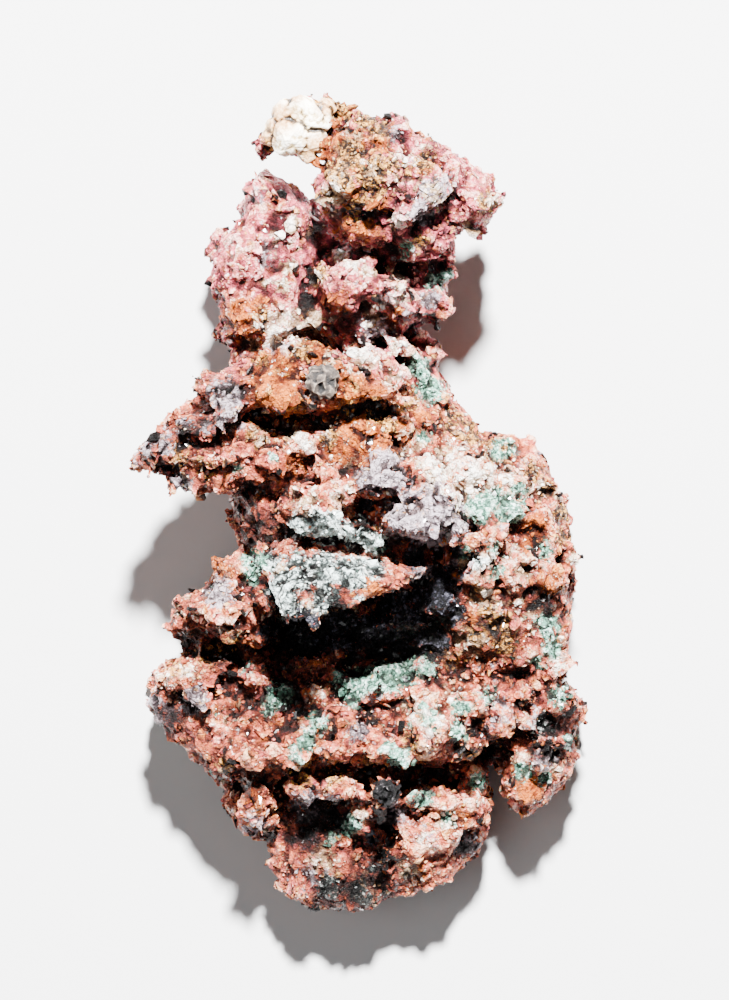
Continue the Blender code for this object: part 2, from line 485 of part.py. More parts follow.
def add_lobe(bm, lobe):
    """A stack of rings of the lobe's outline, closed at the back and at the front."""
    middle_x = sum(x for x, y in lobe.outline) / len(lobe.outline)
    middle_y = sum(y for x, y in lobe.outline) / len(lobe.outline)
    rings = []
    for size, rise in LOBE_RINGS:
        tilt = 1.0 if lobe.plate else rise
        ring = []
        for x, y in lobe.outline:
            dx, dy = size * (x - middle_x), size * (y - middle_y)
            height = lobe.back + rise * (lobe.front - lobe.back)
            height += tilt * (lobe.climb[0] * dx + lobe.climb[1] * dy)
            ring.append(bm.verts.new(Vector((middle_x + dx, middle_y + dy, height)) * MM))
        rings.append(ring)
    count = len(lobe.outline)
    for lower, upper in zip(rings, rings[1:]):
        for i in range(count):
            j = (i + 1) % count
            bm.faces.new((lower[j], lower[i], upper[i], upper[j]))
    bm.faces.new(rings[0])
    bm.faces.new(list(reversed(rings[-1])))


def add_rock(bm, rock, chance):
    """A broken lump with flat faces: the hull of points scattered over an ellipsoid."""
    x, y, top, half_length, half_width, half_height, turn = rock
    place = (
        Matrix.Translation(Vector((x, y, top - half_height)) * MM)
        @ Euler((0, 0, math.radians(turn))).to_matrix().to_4x4()
    )
    corners = []
    for _ in range(ROCK_CORNERS):
        way = Vector((chance.gauss(0, 1), chance.gauss(0, 1), chance.gauss(0, 1))).normalized()
        reach = Vector((way.x * half_length, way.y * half_width, way.z * half_height)) * MM
        corners.append(bm.verts.new(place @ reach))
    hull = bmesh.ops.convex_hull(bm, input=corners)
    inside = [v for v in hull["geom_interior"] if isinstance(v, bmesh.types.BMVert)]
    bmesh.ops.delete(bm, geom=inside, context="VERTS")


def add_horn(bm, horn):
    """A short pointed spike of metal, round a straight line from its root to its tip."""
    root, tip, radius = Vector(horn[0:3]) * MM, Vector(horn[3:6]) * MM, horn[6] * MM
    axis = tip - root
    turn = axis.to_track_quat("Z", "Y").to_matrix().to_4x4()
    place = Matrix.Translation((root + tip) / 2) @ turn
    bmesh.ops.create_cone(
        bm, cap_ends=True, segments=7, radius1=radius, radius2=radius * 0.35,
        depth=axis.length, matrix=place,
    )


def ring_size(lobe, height):
    """The size of the lobe's outline at a height."""
    share = (height - lobe.back) / (lobe.front - lobe.back)
    for (size, rise), (next_size, next_rise) in zip(LOBE_RINGS, LOBE_RINGS[1:]):
        if share <= next_rise:
            along = (share - rise) / (next_rise - rise)
            return size + along * (next_size - size)
    return LOBE_RINGS[-1][0]


def add_side_knobs(bm, lobe, chance):
    """Broken knobs all round the sides of a lobe, at heights that vary."""
    middle = Vector([sum(axis) / len(lobe.outline) for axis in zip(*lobe.outline)])
    corners = [Vector(corner) for corner in lobe.outline]
    for start, end in zip(corners, corners[1:] + corners[:1]):
        side = end - start
        turn = math.degrees(math.atan2(side.y, side.x))
        for step in range(max(1, round(side.length / KNOB_SPACING))):
            for level in range(max(1, round((lobe.front - lobe.back) / 2.6))):
                height = chance.uniform(lobe.back + 0.5, lobe.back + 0.8 * (lobe.front - lobe.back))
                place = start + side * chance.random() - middle
                place = middle + place * (ring_size(lobe, height) - KNOB_INSET / place.length)
                bulk = 0.75 + 2.5 * (1.0 - ring_size(lobe, height))
                half_height = chance.uniform(0.5, 1.2) * bulk
                add_rock(bm, (
                    place.x, place.y, height + half_height,
                    chance.uniform(0.7, 1.4) * bulk, chance.uniform(0.4, 0.75) * bulk, half_height,
                    turn + chance.uniform(-30, 30),
                ), chance)


def is_inside(outline, x, y):
    inside = False
    for (x1, y1), (x2, y2) in zip(outline, outline[1:] + outline[:1]):
        if (y1 > y) != (y2 > y) and x < x1 + (y - y1) / (y2 - y1) * (x2 - x1):
            inside = not inside
    return inside


def add_back_knobs(bm, lobe, chance):
    """Broken knobs over the back of a lobe."""
    xs, ys = zip(*lobe.outline)
    tries = round((max(xs) - min(xs)) * (max(ys) - min(ys)) / KNOB_SPACING ** 2 * 0.8)
    for _ in range(tries):
        x, y = chance.uniform(min(xs), max(xs)), chance.uniform(min(ys), max(ys))
        if is_inside(lobe.outline, x, y):
            half_height = chance.uniform(0.5, 1.0)
            low = lobe.back - chance.uniform(0.0, 0.7)
            add_rock(bm, (
                x, y, low + 2 * half_height,
                chance.uniform(0.7, 1.5), chance.uniform(0.5, 0.9), half_height, chance.uniform(0, 180),
            ), chance)


def link_mesh(name, bm):
    mesh = bpy.data.meshes.new(name)
    bm.to_mesh(mesh)
    bm.free()
    made = bpy.data.objects.new(name, mesh)
    bpy.context.scene.collection.objects.link(made)
    return made


def apply_modifiers(subject):
    """Replace the object's mesh by what its modifiers make of it."""
    bpy.context.view_layer.update()
    depsgraph = bpy.context.evaluated_depsgraph_get()
    result = bpy.data.meshes.new_from_object(subject.evaluated_get(depsgraph))
    subject.modifiers.clear()
    subject.data = result


def fuse(subject, grain):
    remesh = subject.modifiers.new("fuse", "REMESH")
    remesh.mode = "VOXEL"
    remesh.voxel_size = grain * MM
    apply_modifiers(subject)


def break_surface(subject, depth, spacing):
    """Push the surface in and out along its normals in angular cells, as broken metal has."""
    bm = bmesh.new()
    bm.from_mesh(subject.data)
    bm.normal_update()
    moves = []
    for vert in bm.verts:
        place = vert.co / (spacing * MM)
        near = noise.voronoi(place)[0]
        fine = noise.voronoi(place * 2.3 + Vector((7, 3, 5)))[0]
        rise = (near[1] - near[0]) * 0.9 + (fine[1] - fine[0]) * 0.4 - 0.42
        moves.append(vert.normal * rise * depth * MM)
    for vert, move in zip(bm.verts, moves):
        vert.co += move
    bm.to_mesh(subject.data)
    bm.free()


def thin_out(subject, triangles):
    """Drop the triangles that say least about the shape."""
    subject.data.calc_loop_triangles()
    decimate = subject.modifiers.new("thin out", "DECIMATE")
    decimate.ratio = triangles / len(subject.data.loop_triangles)
    decimate.use_collapse_triangulate = True
    apply_modifiers(subject)


def wear_flat(subject, height):
    """Cut away what is below the resting plane and close the cuts with flat faces."""
    bm = bmesh.new()
    bm.from_mesh(subject.data)
    whole = bm.verts[:] + bm.edges[:] + bm.faces[:]
    cut = bmesh.ops.bisect_plane(
        bm, geom=whole, dist=1e-6, plane_co=(0, 0, height * MM), plane_no=(0, 0, -1), clear_outer=True
    )
    rim = [edge for edge in cut["geom_cut"] if isinstance(edge, bmesh.types.BMEdge)]
    bmesh.ops.holes_fill(bm, edges=rim, sides=0)
    bmesh.ops.triangulate(bm, faces=[face for face in bm.faces if len(face.verts) > 3])
    bm.to_mesh(subject.data)
    bm.free()


def keep_largest(subject):
    """Drop the crumbs that came loose, so that one closed body is left."""
    bm = bmesh.new()
    bm.from_mesh(subject.data)
    unseen = set(bm.verts)
    bodies = []
    while unseen:
        body, edge_of_body = set(), [unseen.pop()]
        while edge_of_body:
            vert = edge_of_body.pop()
            body.add(vert)
            for edge in vert.link_edges:
                other = edge.other_vert(vert)
                if other in unseen:
                    unseen.remove(other)
                    edge_of_body.append(other)
        bodies.append(body)
    bodies.sort(key=len)
    loose = [vert for body in bodies[:-1] for vert in body]
    bmesh.ops.delete(bm, geom=loose, context="VERTS")
    bm.to_mesh(subject.data)
    bm.free()


def combine(subject, other, operation):
    boolean = subject.modifiers.new("combine", "BOOLEAN")
    boolean.operation = operation
    boolean.solver = "EXACT"
    boolean.object = other
    apply_modifiers(subject)


def make_material(name, colour, metallic, roughness):
    material = bpy.data.materials.new(name)
    material.use_nodes = True
    shader = material.node_tree.nodes["Principled BSDF"]
    shader.inputs["Base Color"].default_value = colour
    shader.inputs["Metallic"].default_value = metallic
    shader.inputs["Roughness"].default_value = roughness
    return material


def place_in_nugget(rock):
    x, y, top, half_length, half_width, half_height, turn = rock
    return (
        Matrix.Translation(Vector((x, y, top - half_height)) * MM)
        @ Euler((0, 0, math.radians(turn))).to_matrix().to_4x4()
        @ Matrix.Diagonal(Vector((half_length, half_width, half_height)) * MM).to_4x4()
    )


def make_copper():
    chance = random.Random(29)
    lobes = (
        (HEAD, HEAD_ROCKS), (BLADE, BLADE_ROCKS), (COLLAR, COLLAR_ROCKS), (TRUNK, TRUNK_ROCKS),
        (ARM, ARM_ROCKS), (LEDGE, []), (ARM_WEB, []), (CENTRE, CENTRE_ROCKS), (SHELF, SHELF_ROCKS), (SHOULDER, SHOULDER_ROCKS),
        (FIN, FIN_ROCKS), (WAIST, CAVE_ROCKS), (BELLY_LEFT, BELLY_ROCKS), (BELLY_RIGHT, []),
        (TAIL, TAIL_ROCKS), (FLAP, FLAP_ROCKS),
    )
    bm = bmesh.new()
    for lobe, rocks in lobes:
        add_lobe(bm, lobe)
        for rock in rocks:
            add_rock(bm, rock, chance)
        if not lobe.plate:
            add_side_knobs(bm, lobe, chance)
            add_back_knobs(bm, lobe, chance)
    for rock in BACK_ROCKS:
        add_rock(bm, rock, chance)
    for horn in ARM_HORNS + FIN_HORNS:
        add_horn(bm, horn)
    copper = link_mesh("copper_nugget", bm)
    fuse(copper, FUSE_GRAIN)
    keep_largest(copper)
    break_surface(copper, BROKEN_DEPTH, BROKEN_SPACING)
    thin_out(copper, COPPER_TRIANGLES)
    wear_flat(copper, REST_HEIGHT)
    keep_largest(copper)
    return copper


def make_crystal(crystal, chance):
    """One leaning six-sided block of calcite with some of its corners chipped to flat faces."""
    place, half_edges, turns = Vector(crystal[0:3]), crystal[3:6], crystal[6:9]
    bm = bmesh.new()
    bmesh.ops.create_cube(bm, size=1.0)
    for _ in range(CRYSTAL_CHIPS):
        corner = Vector([chance.choice((-1, 1)) * chance.uniform(0.5, 1.0) for _ in range(3)])
        chip = bmesh.ops.bisect_plane(
            bm, geom=bm.verts[:] + bm.edges[:] + bm.faces[:], dist=1e-6, clear_outer=True,
            plane_co=corner.normalized() * chance.uniform(0.52, 0.62), plane_no=corner,
        )
        rim = [edge for edge in chip["geom_cut"] if isinstance(edge, bmesh.types.BMEdge)]
        bmesh.ops.holes_fill(bm, edges=rim, sides=0)
    lean = Matrix.Shear("XY", 4, (CRYSTAL_SHEAR, CRYSTAL_SHEAR))
    turn = Euler([math.radians(angle) for angle in turns]).to_matrix().to_4x4()
    size = Matrix.Diagonal([2 * edge * MM for edge in half_edges] + [1.0])
    bmesh.ops.transform(bm, matrix=Matrix.Translation(place * MM) @ turn @ size @ lean, verts=bm.verts)
    return link_mesh("calcite_crystals", bm)


def make_calcite():
    chance = random.Random(7)
    calcite, *others = [make_crystal(crystal, chance) for crystal in CALCITE_CRYSTALS]
    for other in others:
        combine(calcite, other, "UNION")
        bpy.data.objects.remove(other, do_unlink=True)
    return calcite


def make_pebble():
    bm = bmesh.new()
    bmesh.ops.create_icosphere(bm, subdivisions=3, radius=1.0, matrix=place_in_nugget(PEBBLE))
    return link_mesh("grey_pebble", bm)


def make_black_grain():
    bm = bmesh.new()
    add_rock(bm, BLACK_GRAIN, random.Random(11))
    return link_mesh("black_grain", bm)


def swollen_copy(piece, growth):
    """A cutter one seam larger than the piece all round."""
    bm = bmesh.new()
    bm.from_mesh(piece.data)
    bm.normal_update()
    moved = [vert.co + vert.normal * growth * MM for vert in bm.verts]
    bm.clear()
    hull = bmesh.ops.convex_hull(bm, input=[bm.verts.new(co) for co in moved])
    inside = [v for v in hull["geom_interior"] if isinstance(v, bmesh.types.BMVert)]
    bmesh.ops.delete(bm, geom=inside, context="VERTS")
    cutter = link_mesh("seat of " + piece.name, bm)
    cutter.hide_render = True
    cutter.display_type = "WIRE"
    return cutter


def bring_to_frame(pieces):
    """Scale the nugget to its length, and put the origin under the middle of it."""
    points = [vert.co for piece in pieces for vert in piece.data.vertices]
    low_x, high_x = min(p.x for p in points), max(p.x for p in points)
    low_y, high_y = min(p.y for p in points), max(p.y for p in points)
    middle = Vector(((low_x + high_x) / 2, (low_y + high_y) / 2, 0.0))
    scale = LENGTH * MM / (high_y - low_y)
    for piece in pieces:
        piece.data.transform(Matrix.Scale(scale, 4) @ Matrix.Translation(-middle))


def main():
    for old in list(bpy.data.objects):
        bpy.data.objects.remove(old, do_unlink=True)

    copper = make_copper()
    calcite, pebble, black_grain = make_calcite(), make_pebble(), make_black_grain()
    for piece in (calcite, pebble, black_grain):
        seat = swollen_copy(piece, SEAM)
        combine(copper, seat, "DIFFERENCE")
        bpy.data.objects.remove(seat, do_unlink=True)
    keep_largest(copper)
    bring_to_frame((copper, calcite, pebble, black_grain))

    materials = (
        (copper, make_material("native copper", (0.62, 0.24, 0.16, 1), 0.55, 0.5)),
        (calcite, make_material("calcite", (0.86, 0.82, 0.74, 1), 0.0, 0.35)),
        (pebble, make_material("grey stone", (0.36, 0.34, 0.34, 1), 0.0, 0.75)),
        (black_grain, make_material("black mineral", (0.02, 0.02, 0.022, 1), 0.4, 0.3)),
    )
    for piece, material in materials:
        piece.data.materials.clear()
        piece.data.materials.append(material)


main()
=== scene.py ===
import math

import bmesh
import bpy
import numpy as np
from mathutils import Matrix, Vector
from mathutils.bvhtree import BVHTree


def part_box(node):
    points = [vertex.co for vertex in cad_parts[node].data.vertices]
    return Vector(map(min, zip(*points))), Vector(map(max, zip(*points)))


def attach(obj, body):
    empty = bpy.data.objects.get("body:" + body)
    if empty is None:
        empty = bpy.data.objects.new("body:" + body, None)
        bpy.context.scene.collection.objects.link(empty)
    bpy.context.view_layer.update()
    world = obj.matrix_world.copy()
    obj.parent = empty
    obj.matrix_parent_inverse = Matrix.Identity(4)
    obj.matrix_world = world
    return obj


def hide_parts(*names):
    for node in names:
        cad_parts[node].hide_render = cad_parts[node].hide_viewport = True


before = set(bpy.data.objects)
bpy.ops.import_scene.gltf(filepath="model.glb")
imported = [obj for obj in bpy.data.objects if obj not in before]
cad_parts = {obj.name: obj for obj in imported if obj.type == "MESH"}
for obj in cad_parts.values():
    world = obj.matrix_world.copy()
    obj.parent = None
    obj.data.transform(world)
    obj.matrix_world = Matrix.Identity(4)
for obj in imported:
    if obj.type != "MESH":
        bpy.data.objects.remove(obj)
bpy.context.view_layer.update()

MM = 0.001


# ----------------------------------------------------------
# The view: straight down on the nugget as it lies, with its calcite tip at the top.
# A long lens, as for a close-up of a small stone, so that near and far parts keep their sizes.

VIEW_MIDDLE = Vector((0.19, 0.17, 8.0)) * MM
VIEW_HEIGHT = 48.6 * MM
VIEW_DISTANCE = 320 * MM


def add_object(name, data):
    made = bpy.data.objects.new(name, data)
    bpy.context.scene.collection.objects.link(made)
    return made


camera_data = bpy.data.cameras.new("camera")
camera_data.sensor_fit = "VERTICAL"
camera_data.sensor_height = 36
camera_data.lens = camera_data.sensor_height * VIEW_DISTANCE / VIEW_HEIGHT
camera_data.clip_start = 0.005
camera = add_object("camera", camera_data)
camera.location = VIEW_MIDDLE + Vector((0, 0, VIEW_DISTANCE))
bpy.context.scene.camera = camera


# ----------------------------------------------------------
# The table: a plain pale sheet that runs on past the edges of the view.
# One small, bright lamp stands high up beyond the calcite tip, and a wide dim one fills the
# shadows from the left.


def new_material(name):
    """A material, its node tree and its shader."""
    material = bpy.data.materials.new(name)
    material.use_nodes = True
    return material, material.node_tree, material.node_tree.nodes["Principled BSDF"]


table_mesh = bpy.data.meshes.new("table")
table_mesh.from_pydata([(-2, -2, 0), (2, -2, 0), (2, 2, 0), (-2, 2, 0)], [], [(0, 1, 2, 3)])
table_paper, _, table_shader = new_material("table paper")
table_shader.inputs["Base Color"].default_value = (0.48, 0.48, 0.48, 1)
table_shader.inputs["Roughness"].default_value = 0.9
table_mesh.materials.append(table_paper)
table = add_object("table", table_mesh)


def add_lamp(name, place, aim, size, power):
    lamp_data = bpy.data.lights.new(name, "AREA")
    lamp_data.shape = "DISK"
    lamp_data.size = size
    lamp_data.energy = power
    lamp = add_object(name, lamp_data)
    lamp.location = place
    lamp.rotation_euler = (Vector(aim) - Vector(place)).to_track_quat("-Z", "Y").to_euler()


add_lamp("key lamp", (0.02, 0.22, 0.325), (0, 0, 0.005), size=0.035, power=26.0)
add_lamp("fill lamp", (-0.30, -0.10, 0.50), (0, 0, 0), size=0.5, power=1.5)

surroundings = bpy.data.worlds.new("surroundings")
surroundings.use_nodes = True
background = surroundings.node_tree.nodes["Background"]
background.inputs["Color"].default_value = (0.9, 0.93, 1.0, 1)
background.inputs["Strength"].default_value = 0.15
bpy.context.scene.world = surroundings


# ----------------------------------------------------------
# The copper mass: native copper that grew as one branching lump, broken and hackly all over,
# with knobs and splinters on every lobe. It is one piece, and it carries everything else.
# Its mesh is worked in millimetres, and brought to metres at the end.

chance = np.random.default_rng(41)


def unit(vectors):
    return vectors / np.linalg.norm(vectors, axis=1)[:, None]


def hull(points):
    """The corners and triangles of the hull of a few points."""
    bm = bmesh.new()
    for point in points:
        bm.verts.new(point)
    made = bmesh.ops.convex_hull(bm, input=bm.verts)
    spare = {item for item in made["geom_interior"] if isinstance(item, bmesh.types.BMVert)}
    bmesh.ops.delete(bm, geom=list(spare), context="VERTS")
    bmesh.ops.triangulate(bm, faces=bm.faces)
    bmesh.ops.recalc_face_normals(bm, faces=bm.faces)
    bm.verts.index_update()
    corners = np.array([vert.co[:] for vert in bm.verts])
    triangles = np.array([[vert.index for vert in face.verts] for face in bm.faces])
    bm.free()
    return corners, triangles


def chip_shape(corner_count):
    """An angular chip: the hull of points strewn near a ball's surface."""
    points = chance.normal(size=(corner_count, 3))
    points /= np.linalg.norm(points, axis=1)[:, None] / chance.uniform(0.8, 1.1, size=(corner_count, 1))
    return hull(points)


CHIP_SHAPES = [chip_shape(corner_count) for corner_count in (8, 8, 9, 9, 10, 11, 12, 14)]
ROUND_SHAPES = [chip_shape(corner_count) for corner_count in (60, 80, 100)]


def lying_turns(normals, tilt):
    """Turns that lay a chip's thin way along the normal, tipped a little and spun at random."""
    up = unit(normals + tilt * chance.normal(size=normals.shape))
    side = unit(np.cross(chance.normal(size=normals.shape), up))
    return np.stack([side, np.cross(up, side), up], axis=2)


def broken_chips(places, half_sizes, normals, tilt, shapes=CHIP_SHAPES):
    """Chips at the places, lying on the normals. Also gives the chip that each corner is of."""
    all_verts, all_faces, owners, used = [], [], [], 0
    turns = lying_turns(normals, tilt)
    kinds = chance.integers(0, len(shapes), size=len(places))
    for kind, (corners, triangles) in enumerate(shapes):
        chosen = np.flatnonzero(kinds == kind)
        verts = np.einsum("nij,nkj->nki", turns[chosen], corners[None] * half_sizes[chosen, None, :])
        faces = triangles[None] + (np.arange(len(chosen)) * len(corners))[:, None, None]
        all_verts.append((verts + places[chosen, None, :]).reshape(-1, 3))
        all_faces.append(faces.reshape(-1, 3) + used)
        owners.append(np.repeat(chosen, len(corners)))
        used += len(chosen) * len(corners)
    return np.vstack(all_verts), np.vstack(all_faces), np.concatenate(owners)


def read_mesh(mesh, scale=1.0):
    """Corners, triangles, and each triangle's normal and area."""
    mesh.calc_loop_triangles()
    verts = np.empty(len(mesh.vertices) * 3)
    mesh.vertices.foreach_get("co", verts)
    verts = verts.reshape(-1, 3) * scale
    faces = np.empty(len(mesh.loop_triangles) * 3, dtype=int)
    mesh.loop_triangles.foreach_get("vertices", faces)
    faces = faces.reshape(-1, 3)
    a, b, c = (verts[faces[:, corner]] for corner in range(3))
    cross = np.cross(b - a, c - a)
    length = np.linalg.norm(cross, axis=1)
    return verts, faces, cross / np.maximum(length, 1e-12)[:, None], length / 2


def vertex_normals(verts, faces, normals, areas):
    total = np.zeros_like(verts)
    for corner in range(3):
        for axis in range(3):
            total[:, axis] += np.bincount(faces[:, corner], normals[:, axis] * areas, minlength=len(verts))
    return total / np.maximum(np.linalg.norm(total, axis=1), 1e-9)[:, None]


# The blade, the collar and the stem are worn smoother than the rest: (x, y, radius).
WORN = [(-4.2, 12.6, 2.6), (-4.6, 15, 1.6), (-2.4, 9, 1.2), (2.6, 8, 1.6), (-3.2, 10.8, 1.4)]
WORN_SHARE = 0.45  # how much of the usual crust is left there
FOOT_HEIGHT = 0.15  # below this the nugget rests on the table, and nothing grows


def scatter(surface, count, front_share):
    """Random places on a surface, the normals there, and the triangles that they are on.
    More fall on what faces up."""
    verts, faces, normals, areas = surface
    middles = verts[faces].mean(axis=1)
    weight = areas * np.where(normals[:, 2] > 0.1, front_share, 1.0)
    for x, y, radius in WORN:
        weight = weight * np.where(np.hypot(middles[:, 0] - x, middles[:, 1] - y) < radius, WORN_SHARE, 1.0)
    weight = weight * (verts[faces].min(axis=1)[:, 2] > FOOT_HEIGHT)
    chosen = chance.choice(len(faces), size=count, p=weight / weight.sum())
    a, b = chance.random(count), chance.random(count)
    over = a + b > 1
    a[over], b[over] = 1 - a[over], 1 - b[over]
    corner = verts[faces[chosen]]
    places = corner[:, 0] + a[:, None] * (corner[:, 1] - corner[:, 0])
    places = places + b[:, None] * (corner[:, 2] - corner[:, 0])
    return places, normals[chosen], chosen


def add_piece(name, verts, faces):
    mesh = bpy.data.meshes.new(name)
    mesh.from_pydata(verts.tolist(), [], faces.tolist())
    return add_object(name, mesh)


def apply_modifiers(subject):
    result = bpy.data.meshes.new_from_object(
        subject.evaluated_get(bpy.context.evaluated_depsgraph_get()))
    subject.modifiers.clear()
    subject.data = result


def fuse(subject, voxel):
    """Grow what overlaps together into one skin."""
    remesh = subject.modifiers.new("fuse", "REMESH")
    remesh.mode = "VOXEL"
    remesh.voxel_size = voxel


def add_displace(subject, name, cell, depth, middle, plates=False):
    """Push the surface by cells of a size: rounded lumps, or plates with cracks between them."""
    pattern = bpy.data.textures.new(name, "VORONOI")
    pattern.noise_scale = cell
    if plates:
        pattern.weight_1, pattern.weight_2 = -1.0, 1.0
    displace = subject.modifiers.new(name, "DISPLACE")
    displace.texture = pattern
    displace.texture_coords = "LOCAL"
    displace.strength = depth
    displace.mid_level = middle


# Small pushes of the outline, as (x, y, push x, push y, radius): worn hollows and fuller rims.
PUSHES = [
    (-7.8, 12.3, 0.45, 0, 1.2), (-7, 13.8, 0.5, 0, 0.8), (-5.7, 15.9, 0.35, -0.1, 0.8),
    (-6.8, 7, 0, -0.25, 0.6), (-8.3, 6.2, 0.3, -0.2, 0.8), (-11.1, 2.9, 0.35, -0.1, 0.9),
    (-10.6, 3.5, 0.25, -0.1, 0.6), (-9.3, 1.2, 0, 0.6, 0.7), (-6.2, -0.6, 0.25, 0, 0.6),
    (-6.6, -2.4, -0.65, 0.2, 1), (-9.2, -4.6, 0.3, -0.3, 0.8), (-9.1, -6.3, -0.25, 0, 0.8),
    (-10.5, -8.2, 0.65, 0, 0.8), (-10, -10.4, -0.4, -0.1, 0.9), (-8.3, -11.9, -0.1, -0.1, 0.9),
    (-6.4, -14.7, -0.6, -0.1, 1), (-5.2, -15.9, -0.2, -0.3, 0.7), (-4.4, -17.1, 0.3, 0, 0.6),
    (-3.2, -18.9, -0.25, -0.3, 1.2), (-1, -19.8, 0, -0.2, 1.6), (1.6, -19.1, 0.1, -0.3, 1.4),
    (4.2, -18, 0.15, -0.3, 1.2), (6.6, -13, 0, 0.3, 0.6), (8.4, -14.8, 0.15, -0.55, 1.3),
    (10.3, -12.6, 0.4, -0.2, 1.4), (10.7, -9.9, 0.1, 0, 0.9), (10.3, -6.4, -0.1, 0, 0.8),
    (10.3, -4.6, 0.2, 0, 1.2), (10.6, -2.4, 0.45, 0, 0.9), (10.1, -0.2, 0.25, 0, 1), (9.6, 1.5, 0.05, 0, 1),
    (-2.6, 16.5, 0, -0.5, 0.7), (7.1, 15.7, -0.3, 0, 0.8), (6.4, 13.4, 0.2, -0.3, 0.6),
    (5.4, 13, -0.1, 0.3, 0.6), (4.6, 12, -0.3, 0, 0.6), (3.9, 9.4, 0.3, -0.1, 0.7),
    (3.2, 8.6, -0.3, 0, 0.5), (4.4, 5.7, 0.25, 0, 0.8), (5.9, 3.8, -0.1, 0, 0.7),
]

solid = list(read_mesh(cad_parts["copper_nugget"].data, 1 / MM))
shift = np.zeros((len(solid[0]), 2))
for x, y, push_x, push_y, radius in PUSHES:
    away = np.hypot(solid[0][:, 0] - x, solid[0][:, 1] - y) / radius
    shift += np.exp(-away ** 2)[:, None] * (push_x, push_y)
solid[0][:, :2] += shift
looking_down = BVHTree.FromPolygons(solid[0].tolist(), solid[1].tolist())


def front_height(x, y):
    """How high the copper's front is there, in millimetres."""
    hit = looking_down.ray_cast(Vector((x, y, 40)), Vector((0, 0, -1)))[0]
    return hit.z if hit else 6.0


def random_sizes(count, smallest, largest, thin):
    """Half sizes of chips: many small and few large, and thinner along their last way."""
    size = smallest * (largest / smallest) ** (chance.random((count, 1)) ** 1.6)
    return size, size * chance.uniform(0.7, 1.35, size=(count, 3)) * (1, 1, thin)


def splinter(root, tip, radius):
    """A hackly spike from its root to its tip, with a small shoulder half way."""
    root, tip = np.array(root, dtype=float), np.array(tip, dtype=float)
    points = [tip]
    for share, width in ((0.0, 1.0), (0.45, 0.62)):
        middle = root + share * (tip - root)
        points += list(middle + radius * width * chance.uniform(-1, 1, size=(5, 3)))
    return hull(points)


# Splinters as (root x, root y, tip x, tip y, radius, how far the root lies under the front).
SPLINTERS = [
    (-9.9, 2.4, -10.25, 1.15, 0.30, 0.5), (-10.2, 2.7, -11.1, 2.5, 0.36, 0.4),
    (-8.6, 1.4, -9.4, 0.1, 0.36, 0.5), (-8.2, 1.4, -7.85, 0.05, 0.30, 0.5),
    (-8.7, 1.2, -8.4, 0.3, 0.22, 0.6), (-6.9, 1.5, -6.5, 0.45, 0.26, 0.7),
    (-8.7, -5.4, -9.45, -6.5, 0.30, 0.6), (-8.4, -5.2, -9.3, -5, 0.30, 0.5),
    (-4.7, 14.7, -5.3, 16.45, 0.50, 0.4), (-4.3, 15.2, -4.8, 16.2, 0.42, 0.4),
    (6, 14.7, 7.2, 14.9, 0.40, 0.5), (-4.3, -3.1, -5.2, -2.5, 0.32, 0.4), (2, 18.1, 2.7, 18.1, 0.25, 0.4),
    (-7.4, 5.7, -8.25, 6.2, 0.26, 0.4), (-6.4, -12.6, -6.25, -14, 0.40, 0.5),
    (-4.8, -15.2, -4.8, -16.45, 0.34, 0.5), (3.3, 7.7, 4, 8.2, 0.30, 0.4), (9.3, 0, 9.9, 0.55, 0.38, 0.3),
    (9.6, -2.8, 10.7, -2.8, 0.36, 0.3), (-3.4, -4.9, -3.5, -5.95, 0.30, 0.3),
    (-2.2, -5, -1.9, -5.75, 0.28, 0.3), (5.6, 13.6, 5.2, 12.7, 0.34, 0.4),
    (-1.2, 14.4, -1.6, 13.7, 0.30, 0.2), (4.1, -17.9, 4.4, -18.7, 0.30, 0.4),
]
# Lumps of crust round the foot of the calcite, as (x, y, z, size).
FOOT_LUMPS = [
    (-4.5, 17.6, 9.2, 0.45), (-4.2, 18.5, 9, 0.36), (-1.5, 19.4, 9.1, 0.5), (-0.9, 19.1, 9.3, 0.5),
    (-0.5, 18.8, 9.6, 0.5), (-1.2, 18.3, 9.6, 0.55), (-1.5, 17.6, 9.7, 0.55), (-1.7, 16.9, 9.6, 0.5),
    (-2.4, 16.8, 9.1, 0.42), (-0.8, 17.6, 10.2, 0.5), (-2, 16.2, 9.2, 0.45), (-3.2, 17.9, 8.7, 0.9),
    (-2.6, 18.9, 8.7, 0.9),
]
# Rings of lumps that hold the pebble and the black grain: (node, ring radius, how far below, size).
SEATS = [
    ("grey_pebble", 0.95, 0.55, 0.42), ("grey_pebble", 0.5, 0.75, 0.5), ("black_grain", 0.6, 0.5, 0.32),
]
SEAT_LUMPS = 9
# Lumps that fill the hollow under the ledge, the gully at the foot and the blade's top, and the
# knobs on the blade: (x, y, how far below the front, size, where that is measured if not there).
FILLS = [
    (0.1, 3.8, -0.2, 0.75), (0.8, 3.6, -0.4, 0.85), (1.4, 3.5, -0.5, 0.85), (1.9, 3.7, -0.4, 0.8),
    (-0.6, 3.9, 0, 0.6), (1, -16.4, 0.3, 0.6, 2.2, -16.5), (1.2, -17.2, 0.3, 0.6, 2.2, -17.2),
    (0.9, -15.9, 0.5, 0.5, 2, -15.8), (-4, 15.1, 0.1, 0.5, -4.6, 14.5), (-3.6, 14.6, 0.1, 0.5, -4.4, 14),
    (-3.3, 13.7, -0.05, 0.26), (-3.2, 12.6, -0.05, 0.3), (-3.3, 11.5, -0.05, 0.3), (-3.8, 10.7, -0.05, 0.3),
    (-4.5, 10.7, -0.05, 0.25), (-0.1, -15.2, 0, 0.45, -0.6, -15),
]
